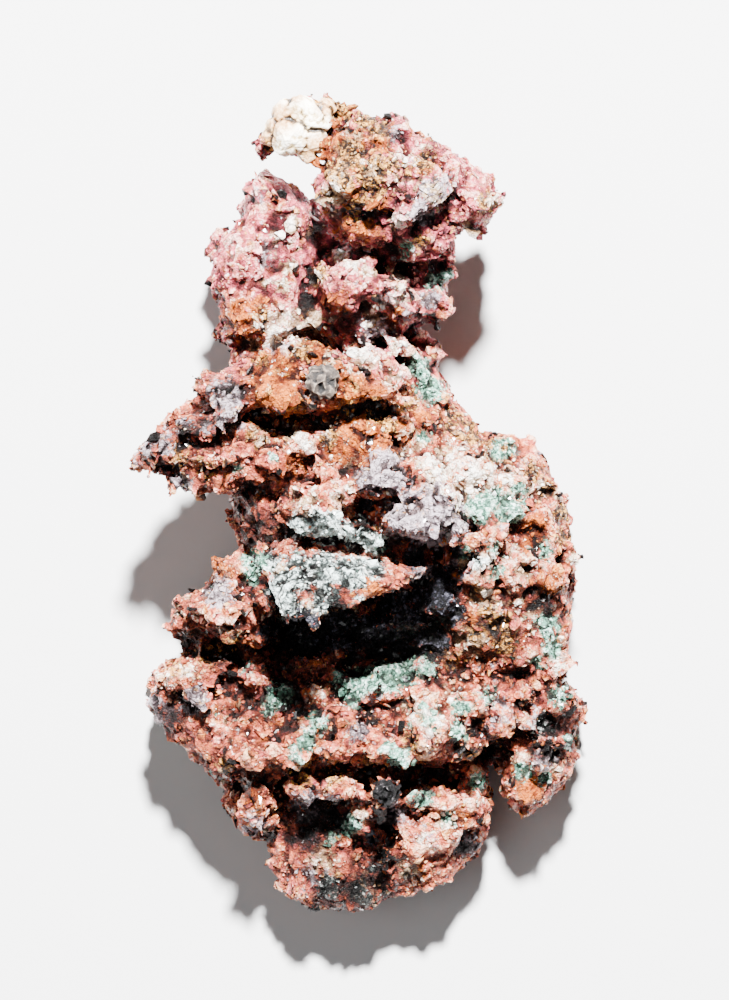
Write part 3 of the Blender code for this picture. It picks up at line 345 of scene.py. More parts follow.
# The thin plate on the ledge's left end, as (x, y, height over the ledge there).
PLATE = [
    (-5.6, 6.35, -0.3), (-4.2, 8.05, -0.2), (-3.1, 7.6, 0.1), (-3.9, 6.2, 0.2), (-5.5, 6.3, -0.5),
    (-4.2, 7.9, -0.5),
]


def raised_splinter(root_x, root_y, tip_x, tip_y, radius, drop):
    height = front_height(root_x, root_y) - drop
    return splinter((root_x, root_y, height), (tip_x, tip_y, height + 0.1), radius)


ledge_end = front_height(-4.4, 6.8)
extra = [raised_splinter(*values) for values in SPLINTERS]
extra.append(hull([(x, y, z + ledge_end) for x, y, z in PLATE]))
lumps = list(FOOT_LUMPS)
for x, y, drop, size, *measured in FILLS:
    lumps.append((x, y, front_height(*(measured or (x, y))) - drop, size))
for node, ring, drop, size in SEATS:
    low, high = (np.array(corner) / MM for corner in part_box(node))
    middle = (low + high) / 2
    for step in range(SEAT_LUMPS):
        turn = math.tau * step / SEAT_LUMPS
        lumps.append((middle[0] + ring * math.cos(turn), middle[1] + ring * math.sin(turn),
                      middle[2] - drop, size))
lumps = np.array(lumps)
lump_half_sizes = lumps[:, 3:] * chance.uniform(0.9, 1.3, size=(len(lumps), 3))
extra.append(broken_chips(lumps[:, :3], lump_half_sizes, chance.normal(size=(len(lumps), 3)), 1.0)[:2])

# Broken plates and knobs, 0.4 to 2 mm across, are fused into the copper. They are sunk by almost
# half their size, so that they stand out of it with cracks left between them.
KNOBS = 6500
KNOBS_SUNK = 0.42
knob_places, knob_normals, _ = scatter(solid, KNOBS, front_share=2.0)
knob_size, knob_half_sizes = random_sizes(KNOBS, smallest=0.18, largest=0.90, thin=0.65)
knob_verts, knob_faces, knob_owners = broken_chips(
    knob_places - KNOBS_SUNK * knob_size * knob_normals, knob_half_sizes, knob_normals, tilt=0.3)
parts = [solid[:2], (knob_verts, knob_faces)] + extra
starts = np.cumsum([0] + [len(verts) for verts, _ in parts])
copper = add_piece(
    "copper_mass",
    np.vstack([verts for verts, _ in parts]),
    np.vstack([faces + start for (_, faces), start in zip(parts, starts)]),
)
fuse(copper, voxel=0.085)
add_displace(copper, "lumps", cell=1.4, depth=-0.30, middle=0.4)
add_displace(copper, "plates", cell=0.85, depth=0.42, middle=0.2, plates=True)
add_displace(copper, "broken cells", cell=0.36, depth=-0.09, middle=0.4)
apply_modifiers(copper)

# Fewer triangles are kept where the copper faces down.
COPPER_TRIANGLES = 195000
facing_down = vertex_normals(*read_mesh(copper.data))[:, 2] < -0.1
unseen = copper.vertex_groups.new(name="unseen")
unseen.add(np.flatnonzero(facing_down).tolist(), 1.0, "REPLACE")
unseen.add(np.flatnonzero(~facing_down).tolist(), 0.3, "REPLACE")
thin_out = copper.modifiers.new("thin out", "DECIMATE")
thin_out.ratio = COPPER_TRIANGLES / len(read_mesh(copper.data)[1])
thin_out.vertex_group = "unseen"
thin_out.vertex_group_factor = 0.25
apply_modifiers(copper)

# Where each mineral shows on the side that faces up: for each amount, from 0 to 1, the patches
# that have it, as (x, y, radius). First the orange limonite.
LIMONITE = {
    1: [(-1.5, 18.4, 0.5), (-2.4, 16.6, 0.5), (-4.4, 5.4, 0.8), (-3.2, 4.4, 0.7), (0.8, 3.4, 0.9),
        (-1.2, 17.3, 0.9), (-1.6, 16.4, 0.6), (-3.4, 5, 0.9), (-0.3, 5.7, 0.9), (-0.5, 3.3, 1.3)],
    0.9: [(-1.2, 19.2, 0.7), (1.8, 3.3, 0.7), (-0.8, 5, 0.7), (-2.9, 15.9, 0.6), (3.1, 16.3, 0.5),
        (-3.8, 6.3, 1), (-2.1, 7.6, 0.8), (-1, 2.5, 0.7), (8.5, -1.1, 0.6), (8.2, -1.9, 0.5),
        (-2.3, -11.4, 0.5), (8.3, -14, 0.7)],
    0.8: [(-0.9, 15, 0.6), (0.9, 17.2, 0.6), (-5, 9.2, 0.8), (-0.5, 14.8, 0.7), (-0.3, 17.4, 0.8),
        (-5.5, 8.9, 1.1), (-4.8, 5.9, 0.7), (0.8, 5.3, 0.6), (0.4, 4.3, 0.5), (-1.4, 6.6, 0.6),
        (9.2, -4, 0.7), (0.5, -4.1, 0.5), (-5.4, -13.5, 0.6), (6.2, -6.5, 0.6)],
    0.7: [(-4.9, 7, 0.5), (0.2, 13.2, 0.7), (0.6, 14.5, 0.8), (1.2, 18.2, 0.5), (-2.8, 4, 0.5),
        (-7.2, -3, 0.7), (5.8, -7.4, 0.6), (4.8, -15.4, 0.5), (3, -18.2, 0.5), (5.4, -5.6, 0.5)],
    0.6: [(-3.1, 1.8, 0.7), (-0.4, 13.6, 0.9), (0.1, 16.1, 0.8), (-2, -4.2, 0.4), (-5.3, -14.6, 0.6),
        (1.6, 9, 0.5), (-1, 9.8, 0.7), (2.9, 4.1, 0.5)],
    0.5: [(0.7, 13.2, 0.7)],
}
# Green malachite.
MALACHITE = {
    1: [(2.8, 6.6, 0.6), (3.4, 5.6, 0.7), (3.5, 10.8, 0.45), (-5.2, -2.9, 0.7), (-3.9, -9.3, 0.7),
        (-0.9, -8.7, 0.6), (0.2, -8.5, 0.7), (1.2, -8.4, 0.8), (2.2, -8.2, 0.7), (1.9, -12.4, 0.6),
        (7.2, -0.4, 0.75), (5.8, -0.2, 0.7), (9.1, -6, 0.6)],
    0.9: [(4.2, 11.1, 0.35), (-5.3, -3.6, 0.5), (-4.5, -10, 0.35), (3.2, -8, 0.6), (-0.4, -9.3, 0.6),
        (4.7, -11, 0.45), (-0.6, -15.7, 0.6), (3.1, -14.4, 0.5), (6.6, 0.3, 0.6), (9.3, -7.1, 0.5)],
    0.8: [(-2.1, -10.7, 0.6), (-2.6, -11.5, 0.5), (1.3, -11.8, 0.4), (4.3, -15.3, 0.4), (5.7, -13.6, 0.5),
        (7.9, -13.1, 0.5), (9.7, -9.4, 0.5), (7.7, 0.6, 0.5), (-4.2, 2.2, 0.25), (5, -2.4, 0.35)],
    0.7: [(2.2, 12.3, 0.4), (4.9, -9.9, 0.5), (-1.3, -16.4, 0.4), (10.3, -11.7, 0.4), (9, -2.3, 0.5),
        (6.9, 2.6, 0.6), (6.5, -2.3, 0.4), (8.6, -7.8, 0.4), (3.1, 3.2, 0.4), (8.9, -13.4, 0.4)],
    0.6: [(3.2, -10.3, 0.7), (6.4, -3.2, 0.5), (-5.6, -8, 0.4), (-3.1, -12.1, 0.5), (-6, 1.7, 0.3),
        (6.3, -9.3, 0.5)],
    0.5: [(1, -2.2, 0.5)],
}
# White and cream chalky grains.
CHALK = {
    1: [(-3.3, 13.7, 0.35), (-3.2, 12.6, 0.4), (-3.3, 11.5, 0.4), (-3.8, 10.7, 0.4), (-4.5, 10.7, 0.35),
        (-0.1, -15.2, 0.4), (-4.2, 8.2, 0.6), (-3.2, 8.6, 0.6), (-0.35, 11.5, 0.5), (-3.8, 8.6, 1.1),
        (-2.3, 8.9, 0.6), (5.3, 1.2, 1.3), (9.8, 0.5, 0.4), (10.45, -2.7, 0.4)],
    0.9: [(-1.3, 14.6, 0.6), (0.3, 11.2, 0.45), (1.9, 10, 0.5), (-4.1, 13, 0.4), (-2.2, 10.9, 0.4),
        (0, 7, 0.8), (3.7, 1.7, 0.9)],
    0.8: [(5.2, 13.2, 0.4), (-1, 12, 0.4), (0.6, 9.1, 0.5), (-3.5, 11.4, 0.45), (1.6, 6, 0.5),
        (-1.4, 7, 0.4), (-2.9, 3.1, 0.8), (2.4, 2.9, 0.7), (6.8, 1.3, 0.8), (-2.6, -0.1, 0.8),
        (4.9, 0.1, 0.6), (5.6, -3, 0.8), (4.8, -6.6, 0.4), (-3.9, -5.4, 0.6), (-2.3, -5.2, 0.6),
        (-4, -3.2, 0.5), (3.2, -10.4, 0.9)],
    0.7: [(1.9, 13.7, 0.5), (2, 15.3, 0.5), (2.2, 16.6, 0.5), (3.4, 14.9, 0.7), (6.6, 14.6, 0.5),
        (-0.4, 17.8, 0.5), (1.8, 11, 0.4), (-5.3, 7.9, 0.4), (1.8, 7.8, 0.6), (-1.6, 3.7, 0.6),
        (-0.8, 2.1, 0.5), (4.5, 2.8, 0.7), (-0.9, 0.4, 0.7), (6.8, -2.5, 0.8), (7.8, -3.3, 0.8),
        (8.6, 0.7, 0.6), (6, -4.5, 0.7), (5.6, -7, 0.8), (9.6, -7.9, 0.5), (2.4, -9.8, 0.6),
        (4.3, -15.6, 0.6), (-1.8, -17.6, 0.8), (-8.9, -5.2, 0.3)],
    0.6: [(-6.4, 12.6, 0.4), (-4.7, 3.4, 0.6), (7.4, -4.6, 0.8), (8.2, -5.6, 0.6), (4.5, -9.3, 0.6),
        (-2.2, -9.3, 0.5), (-6.6, -10.6, 0.4), (3.2, -16.3, 0.5), (5.6, -14.3, 0.5), (0.4, -19, 0.8),
        (2.4, -18, 0.6), (7.9, -12.6, 0.5), (9.6, -12.9, 0.4), (-9.6, -8.6, 0.4), (1.9, -14, 0.3),
        (-4.6, -16, 0.4), (-8.4, -8.2, 0.4), (-7.9, -5.5, 0.4), (-6.2, -6, 0.5)],
    0.5: [(-0.8, 15.6, 0.5), (0.4, 16, 0.4)],
}
# Purple-grey tenorite.
TENORITE = {
    1: [(1, 2.2, 1), (1.4, 1.2, 0.8), (0.4, 1.2, 0.6), (2.3, -0.5, 1.2), (3.4, -0.9, 1.3),
        (4.6, -0.8, 0.8)],
    0.9: [(1.8, -1.4, 0.6), (-6.4, 5.1, 0.8), (-6.3, 4.1, 0.6), (-8.1, -9.6, 0.7), (-6.9, -4.3, 0.7),
        (4.9, -3, 0.5), (1.5, -15.2, 0.6)],
    0.8: [(3.6, 0.4, 0.8), (3.4, 9.9, 0.5), (-8.6, 1, 0.5), (-2.6, -15, 0.9)],
    0.7: [(1.5, 17.8, 0.5), (3.5, 14.9, 0.7), (2.8, 13.9, 0.6), (0.7, 8.4, 0.9), (-2.6, 5, 0.6),
        (-1.4, -14.9, 0.7), (9, -12.4, 0.7), (3.2, -3.6, 0.7)],
    0.6: [(4.1, 15.2, 0.6), (-10.6, 2.6, 0.7), (-9.4, 3, 0.6), (-8.6, 3.6, 0.5), (-7.4, 3.8, 0.5),
        (-9.4, -10.2, 0.6), (-5.3, -15.7, 0.7), (-0.2, -11, 0.6), (8.8, -10.8, 0.7), (5.3, -16.8, 0.7),
        (-10.2, -9.6, 0.5)],
    0.5: [(0.5, -9.5, 0.5), (-2.4, -18.4, 0.8), (-4, 7.2, 0.9), (1.2, 9.9, 0.5), (-2.4, 7.9, 0.5),
        (2.4, 9.3, 0.4)],
    0.4: [(-4.6, 12, 0.7), (7, -10.4, 0.8)],
    0.2: [(0.9, -18.2, 0.6)],
}
# The grey-green dust on the shelf.
GREY_GREEN = {
    1: [(-1.6, -1.2, 1), (-0.2, -1.5, 0.9), (0.8, -1.9, 0.6), (-3.8, -4.2, 0.9), (-3, -3.3, 1),
        (-1.8, -3.2, 1), (-0.5, -3.3, 0.9)],
    0.9: [(-2.9, -1.1, 0.7), (-3.2, -5.2, 0.8)],
    0.8: [(-1.6, -4.6, 0.9), (0.7, -3.1, 0.6), (-4.3, -2.8, 0.6)],
    0.7: [(-1.6, -18.8, 0.7), (0, -19.2, 0.7)],
    0.6: [(5.8, -2.8, 0.6), (8.8, -10.9, 0.7), (0.6, -17.9, 0.4)],
    0.5: [(-0.3, -4.4, 0.6)],
}
# Blue-black grains in the cave, also laid over deep recesses as painted shade.
COAL_AND_PAINTED_SHADE = {
    1: [(3.4, -4.6, 1), (3, -5.8, 1), (0.6, -6.4, 1), (-1, -6.2, 1.2), (-2.8, -6.4, 1.2), (1.6, -5.2, 1)],
    0.9: [(4.2, -3.9, 0.8), (4.3, -5.3, 0.8), (2, -6.6, 1), (3.6, -6.7, 0.8), (2.6, -2.6, 0.6)],
    0.8: [(4.6, -2.3, 0.4), (0.3, 0, 0.4), (0.6, -16.4, 0.5)],
    0.7: [(-4.4, -6.2, 0.8)],
    0.5: [(-2.6, -16.2, 0.9), (-4.4, -9, 0.4), (-3, -9.8, 0.4)],
}
# Tan and golden ochre.
OCHRE = {
    1: [(-0.6, 17, 0.6), (-0.4, 16.4, 0.5)],
    0.9: [(-0.8, 15.4, 0.6), (0.5, 15.8, 0.8), (-1.1, 15.8, 0.6), (-0.9, 19, 0.6), (-1.8, 19.1, 0.5),
        (6.8, -6, 0.7), (5.6, -6.4, 0.6), (9.9, -0.4, 0.5)],
    0.8: [(-0.1, 14.2, 0.5), (-1.7, 14.8, 0.4), (0.2, 18.5, 0.6), (-2.9, 7.4, 0.6), (0.8, 4.4, 0.7),
        (7, -6.9, 0.6), (6.2, -5.2, 0.5), (4.4, -7.6, 0.5), (9, 0.7, 0.4), (9.8, -1.6, 0.4),
        (6.6, 2.6, 0.7), (-4.5, 18, 0.5), (-4.3, 17.4, 0.4), (-2.5, 9.2, 0.5), (-2.1, 11, 0.5)],
    0.7: [(0.6, 15, 0.6), (1.6, 16.2, 0.6), (0.9, 17.9, 0.5), (3, 16.4, 0.6), (6.1, 14.5, 0.5),
        (-1.5, 3.2, 0.5), (1.4, 3.6, 0.5), (5.2, 3.1, 0.6), (8.4, 1.5, 0.6), (-2.9, -13.3, 0.6),
        (-1.2, -13.2, 0.5), (0.4, -12.6, 0.4), (-7.5, -7.4, 0.6), (-9, -8, 0.5), (-6.1, -6.6, 0.6),
        (4.4, 4, 0.7), (5.6, 3.7, 0.6), (5.6, -4.4, 0.5), (2.9, 12.6, 0.4)],
    0.6: [(-4.8, 6.9, 0.5), (-0.6, 4.6, 0.5), (-5, 3.2, 0.6), (-3.6, 3.5, 0.5), (-8.7, 2.3, 0.5),
        (-7.5, 1.6, 0.5), (-6.6, -12.6, 0.4), (-4.8, 9.1, 0.5), (2.2, 4.9, 0.6)],
    0.5: [(-3.9, 6.4, 0.5), (-0.3, 5.6, 0.4), (-3, 4.8, 0.4), (2.4, -11.5, 0.5), (5.2, -12.2, 0.5)],
    0.4: [(-4.6, 5.4, 0.4)],
}
# Where the copper is paler than elsewhere: partly its own paler tone, partly painted light.
PALE_AND_PAINTED_LIGHT = {
    1: [(-3.8, 8.8, 1.2), (2.6, 6.8, 1.3), (-1.4, -1.1, 1.4)],
    0.9: [(0.8, 7.2, 1.3), (2.2, 5.4, 1.4), (5.2, 1.6, 1.8), (4.4, -15.4, 1.4), (0.6, -1.6, 1)],
    0.8: [(3.2, 5.9, 1), (-4.6, 14.6, 1.5), (-4.9, 12.6, 1.8), (-5.3, 10.8, 1.5), (2.2, 10.3, 1.5),
        (7.2, 0.8, 1.6), (3.6, 1.6, 1.1), (4.5, -9.8, 1.8), (3.2, -16.8, 1.1), (-5, -14.9, 0.9),
        (8.9, -7.4, 1.1), (3, -0.6, 1.4)],
    0.7: [(0, 11, 1.2), (8.8, -0.5, 1.2), (6.5, -2, 1.4), (-6.4, -5.4, 1), (5.2, 15.4, 1.4), (1.4, 2, 1.1),
        (4.6, 3.2, 1.2)],
    0.6: [(-0.2, 3.5, 1.2), (7, -1, 1.2), (5.6, 14, 1), (-1.7, 2.6, 1.3), (-0.6, 0.6, 1), (9.2, -3.4, 1),
        (-1.9, -17.8, 0.9), (2.8, -12, 1.4), (-3.8, 5.6, 1.2)],
    0.5: [(-4, 6.4, 1.3), (-2.3, 1.8, 1), (8, -11, 1), (6, -5.2, 1.2), (0.2, 13.3, 1), (-8.4, -8.6, 1),
        (2.6, 17, 1.2), (7.6, 2.6, 1.2), (-6.3, -3, 1)],
    0.4: [(-5, -11.2, 1.2), (-1.4, -12.8, 1.4)],
}
# Where the copper is darker: painted shade, on recesses and on parts that lie in shadow.
PAINTED_SHADE = {
    1: [(-2.2, -16.4, 1.1), (3.4, -13.3, 0.9), (6.3, -12, 0.8), (8.7, -4.9, 0.5), (-6.9, -7.2, 0.9),
        (-8.4, -6.6, 0.7), (-5, -0.9, 0.9), (-2.2, 13.2, 0.5), (-0.8, -19.5, 1.5)],
    0.9: [(0.8, -7.2, 1.2), (-4, -7.6, 1.2), (0.2, -19, 1.4), (-1.4, -15.3, 0.9), (0.9, -15.5, 0.5),
        (-9.3, -10.4, 0.9), (-5.2, -13.9, 0.7), (-5.6, 0.4, 0.6), (-0.6, 8.8, 0.6)],
    0.8: [(-4.8, -9.9, 0.7), (0.7, -17.6, 0.5), (-2.4, 4.2, 0.5), (-2.4, 8.2, 0.4), (5.2, -17.1, 0.5)],
    0.7: [(1.3, 12, 1), (2.6, -7.2, 1.3), (-6.2, -10, 0.5), (7.7, -7.9, 0.7), (-3.1, -9.9, 0.5),
        (-8.3, -9.8, 0.6)],
    0.6: [(-3.4, -8.3, 0.9), (-7.2, -13.1, 0.8), (9.2, -10.9, 0.6), (6, -6.3, 0.9), (-4.5, -16.2, 0.6),
        (-6.8, 8.2, 0.6)],
    0.5: [(-5.5, -8.9, 0.7), (9.7, -12.2, 0.8), (1.9, -17.4, 0.4), (-3.4, -11.2, 0.4), (-7, 9.6, 0.5),
        (3.6, 8.6, 0.5)],
    0.4: [(-7.5, 3.3, 0.9), (-9.9, 2, 0.7), (5.2, -6.8, 1.1), (5.2, 4.9, 0.3)],
    0.2: [(0.5, 12.9, 1), (-6.2, 2.9, 0.8)],
}
MINERALS_AND_PAINTED_LIGHT = (LIMONITE, MALACHITE, CHALK, TENORITE, GREY_GREEN, COAL_AND_PAINTED_SHADE, OCHRE, PALE_AND_PAINTED_LIGHT, PAINTED_SHADE)
BACK_PATCHES = (34, 30, 60, 30, 8, 6, 40, 40, 30)  # how many of each are on the sides and the back

surface = read_mesh(copper.data)
hidden_places, hidden_normals, _ = scatter(surface, 1200, front_share=0.0)
hidden_places = hidden_places[hidden_normals[:, 2] < 0.1]
back_patches, used = [], 0
for count in BACK_PATCHES:
    back_patches.append([(*place, chance.uniform(0.4, 1.2), chance.uniform(0.6, 1.0))
                         for place in hidden_places[used:used + count]])
    used += count


def patch(distance, radius, most):
    """The amount at a distance from a patch's middle: full inside, and none past 1.5 radii."""
    return most * np.clip(1.5 - distance / radius, 0, 1)


def amounts_of_minerals_and_painted_light(points, up):
    """How much of each mineral, and of the painted light and shade, there is at each point,
    from 0 to 1.
    """
    amounts = []
    on_top = np.clip(up * 2.5 + 0.9, 0, 1) * np.clip((points[:, 2] - 1.5) / 2, 0, 1)
    for patches, hidden in zip(MINERALS_AND_PAINTED_LIGHT, back_patches):
        amount = np.zeros(len(points))
        for most, places in patches.items():
            for x, y, radius in places:
                distance = np.hypot(points[:, 0] - x, points[:, 1] - y)
                amount = np.maximum(amount, patch(distance, radius, most) * on_top)
        for x, y, z, radius, most in hidden:
            distance = np.linalg.norm(points - (x, y, z), axis=1)
            amount = np.maximum(amount, patch(distance, radius, most) * (1 - on_top))
        amounts.append(amount)
    return np.array(amounts)


def store(mesh, name, values, kind="FLOAT"):
    attribute = mesh.attributes.new(name, kind, "POINT")
    attribute.data.foreach_set("vector" if kind == "FLOAT_VECTOR" else "value", np.ravel(values))


def store_minerals_and_painted_light(mesh, amounts, grain, height):
    """Leave on the mesh what its material reads: three sets of three amounts (the last set is
    ochre, paler copper with painted light, and painted shade), a grain number from 0 to 1, and
    how far each corner stands out (1) or lies in a crevice (-1)."""
    for name, first in (("crust", 0), ("coat", 3), ("ochre_and_painted_light_shade", 6)):
        store(mesh, name, amounts[first:first + 3].T, "FLOAT_VECTOR")
    store(mesh, "grain", grain)
    store(mesh, "height", height)


def standing_out(verts, faces, normals, rounds):
    """How many millimetres each corner stands out of the surface round it. More rounds of
    smoothing compare it with a wider stretch."""
    edges = np.vstack([faces[:, [0, 1]], faces[:, [1, 2]], faces[:, [2, 0]]])
    edges = np.unique(np.sort(edges, axis=1), axis=0)
    links = np.bincount(edges.ravel(), minlength=len(verts))[:, None]
    smooth = verts.copy()
    for _ in range(rounds):
        total = np.zeros_like(verts)
        np.add.at(total, edges[:, 0], smooth[edges[:, 1]])
        np.add.at(total, edges[:, 1], smooth[edges[:, 0]])
        smooth = total / np.maximum(links, 1)
    return np.einsum("ij,ij->i", verts - smooth, normals)


copper_normals = vertex_normals(*surface)
near_relief = standing_out(surface[0], surface[1], copper_normals, rounds=4) / 0.16
wide_relief = standing_out(surface[0], surface[1], copper_normals, rounds=26) / 0.45
copper_height = np.clip(0.6 * (near_relief + wide_relief) - 0.04, -1, 1)
knob_tree = BVHTree.FromPolygons(knob_verts.tolist(), knob_faces.tolist())
nearest = [knob_tree.find_nearest(Vector(vert))[2] for vert in surface[0]]
knob_numbers = chance.random(KNOBS)[knob_owners[knob_faces[nearest, 0]]]
store_minerals_and_painted_light(copper.data, amounts_of_minerals_and_painted_light(surface[0], copper_normals[:, 2]), knob_numbers, copper_height)


def add_node(tree, kind, inputs=None, **settings):
    """A node of that kind. Each input is given a value, or the output that feeds it."""
    node = tree.nodes.new(kind)
    for name, value in settings.items():
        setattr(node, name, value)
    for name, value in (inputs or {}).items():
        if isinstance(value, bpy.types.NodeSocket):
            tree.links.new(value, node.inputs[name])
        else:
            node.inputs[name].default_value = value
    return node


def add_ramp(factor, stops):
    """Colours along a factor, as (place, (red, green, blue)) from low to high."""
    ramp = add_node(factor.id_data, "ShaderNodeValToRGB", {"Fac": factor})
    elements = ramp.color_ramp.elements
    for element, (place, colour) in zip(elements, (stops[0], stops[-1])):
        element.position, element.color = place, (*colour, 1)
    for place, colour in stops[1:-1]:
        elements.new(place).color = (*colour, 1)
    return ramp.outputs["Color"]


def add_math(operation, a, b, clamp=False):
    """An operation on two values. The one that is an output says which tree it is in."""
    tree = (a if isinstance(a, bpy.types.NodeSocket) else b).id_data
    return add_node(tree, "ShaderNodeMath", {0: a, 1: b}, operation=operation, use_clamp=clamp).outputs[0]


def plus(a, b, clamp=False):
    return add_math("ADD", a, b, clamp)


def minus(a, b, clamp=False):
    return add_math("SUBTRACT", a, b, clamp)


def times(a, b, clamp=False):
    return add_math("MULTIPLY", a, b, clamp)


def add_shares(*shares, more=0.0, clamp=False):
    """Add numbers up, each given as (number, share), and a constant."""
    total = times(*shares[0])
    for number, share in shares[1:]:
        total = plus(total, times(number, share))
    return plus(total, more, clamp)


def rise(value, low, high, top=1.0, kind="LINEAR"):
    """0 where the value is at low, top where it is at high, and a share of top in between."""
    ends = {"Value": value, "From Min": low, "From Max": high, "To Max": top}
    return add_node(value.id_data, "ShaderNodeMapRange", ends, interpolation_type=kind).outputs[0]


def mix_colours(tree, factor, a, b, blend="MIX"):
    mix = add_node(tree, "ShaderNodeMix", {0: factor, 6: a, 7: b}, data_type="RGBA", blend_type=blend)
    return mix.outputs[2]


def new_group(name, inputs, outputs):
    """A shader node group with named sockets, given as (name, socket kind, value)."""
    group = bpy.data.node_groups.new(name, "ShaderNodeTree")
    for socket_name, kind, value in inputs:
        socket = group.interface.new_socket(socket_name, in_out="INPUT", socket_type="NodeSocket" + kind)
        socket.default_value = value
    for socket_name, kind in outputs:
        group.interface.new_socket(socket_name, in_out="OUTPUT", socket_type="NodeSocket" + kind)
    return group, add_node(group, "NodeGroupInput").outputs, add_node(group, "NodeGroupOutput").inputs


# One mineral laid over a colour: it shows where its amount and the grains' own numbers say.
layer_group, given, result = new_group(
    "mineral layer",
    [("Under", "Color", (0.5, 0.2, 0.1, 1)), ("Amount", "Float", 0.0), ("Grains", "Float", 0.5),
     ("Raggedness", "Float", 0.9), ("Shade", "Float", 0.5), ("Contrast", "Float", 1.0),
     ("Dark", "Color", (0, 0, 0, 1)), ("Middle", "Color", (0.5, 0.5, 0.5, 1)),
     ("Light", "Color", (1, 1, 1, 1))],
    [("Colour", "Color"), ("Mask", "Float")],
)
ragged = times(minus(given["Grains"], 0.5), given["Raggedness"])
mask = rise(plus(given["Amount"], ragged), 0.42, 0.60, kind="SMOOTHSTEP")
swing = times(minus(given["Shade"], 0.55), given["Contrast"])
swing = times(plus(swing, 0.5), 2.0)
low = times(swing, 1.0, clamp=True)
high = minus(swing, 1.0, clamp=True)
own = mix_colours(layer_group, low, given["Dark"], given["Middle"])
own = mix_colours(layer_group, high, own, given["Light"])
layer_group.links.new(mix_colours(layer_group, mask, given["Under"], own), result["Colour"])
layer_group.links.new(mask, result["Mask"])

# Numbers from 0 to 1, three at a time: Grains change from cell to cell, Fines run over the
# cells' borders, and Soft changes slowly over a larger stretch. Cracks is 0 in the thin, crooked
# cracks between plates and 1 on them.
grains_group, given, result = new_group(
    "grains",
    [("Grain Size mm", "Float", 0.3), ("Stretch mm", "Float", 1.5)],
    [("Grains", "Color"), ("Fines", "Color"), ("Soft", "Float"), ("Cracks", "Float")],
)
CROOKED = (0.0004, 0.0004, 0.0004)  # how far a crack wanders, in metres
place = add_node(grains_group, "ShaderNodeTexCoord").outputs["Object"]
per_metre = add_math("DIVIDE", 1000.0, given["Grain Size mm"])
cells = add_node(grains_group, "ShaderNodeTexVoronoi", {
    "Vector": place, "Scale": per_metre, "Randomness": 1.0})
soft = add_node(grains_group, "ShaderNodeTexNoise", {
    "Vector": place, "Scale": add_math("DIVIDE", 1000.0, given["Stretch mm"]),
    "Detail": 3.0, "Roughness": 0.6})
fine = add_node(grains_group, "ShaderNodeTexNoise", {
    "Vector": place, "Scale": times(per_metre, 2.5), "Detail": 2.0, "Roughness": 0.6})
spread = add_node(grains_group, "ShaderNodeVectorMath", {
    0: fine.outputs["Color"], 1: (2.5, 2.5, 2.5), 2: (-0.75, -0.75, -0.75)}, operation="MULTIPLY_ADD")
crooked = add_node(grains_group, "ShaderNodeVectorMath", {
    0: fine.outputs["Color"], 1: CROOKED, 2: place}, operation="MULTIPLY_ADD")
to_edge = add_node(grains_group, "ShaderNodeTexVoronoi", {
    "Vector": crooked.outputs[0], "Scale": times(per_metre, 0.6), "Randomness": 1.0},
    feature="DISTANCE_TO_EDGE")
grains_group.links.new(cells.outputs["Color"], result["Grains"])
grains_group.links.new(spread.outputs[0], result["Fines"])
grains_group.links.new(rise(soft.outputs["Fac"], 0.3, 0.7), result["Soft"])
grains_group.links.new(rise(to_edge.outputs["Distance"], 0.01, 0.08), result["Cracks"])


def add_group(tree, group, inputs):
    return add_node(tree, "ShaderNodeGroup", inputs, node_tree=group).outputs


def stored(tree, name, output="Fac"):
    """What the mesh carries under that name."""
    return add_node(tree, "ShaderNodeAttribute", attribute_name=name).outputs[output]


def split(tree, name):
    return add_node(tree, "ShaderNodeSeparateXYZ", {"Vector": stored(tree, name, "Vector")}).outputs


def three_numbers(colour):
    return add_node(colour.id_data, "ShaderNodeSeparateColor", {"Color": colour}).outputs


def grey(shade):
    return (shade, shade, shade)


def roughen(tree, shader, relief, strength, depth):
    bump = add_node(tree, "ShaderNodeBump", {"Height": relief, "Strength": strength, "Distance": depth})
    tree.links.new(bump.outputs["Normal"], shader.inputs["Normal"])


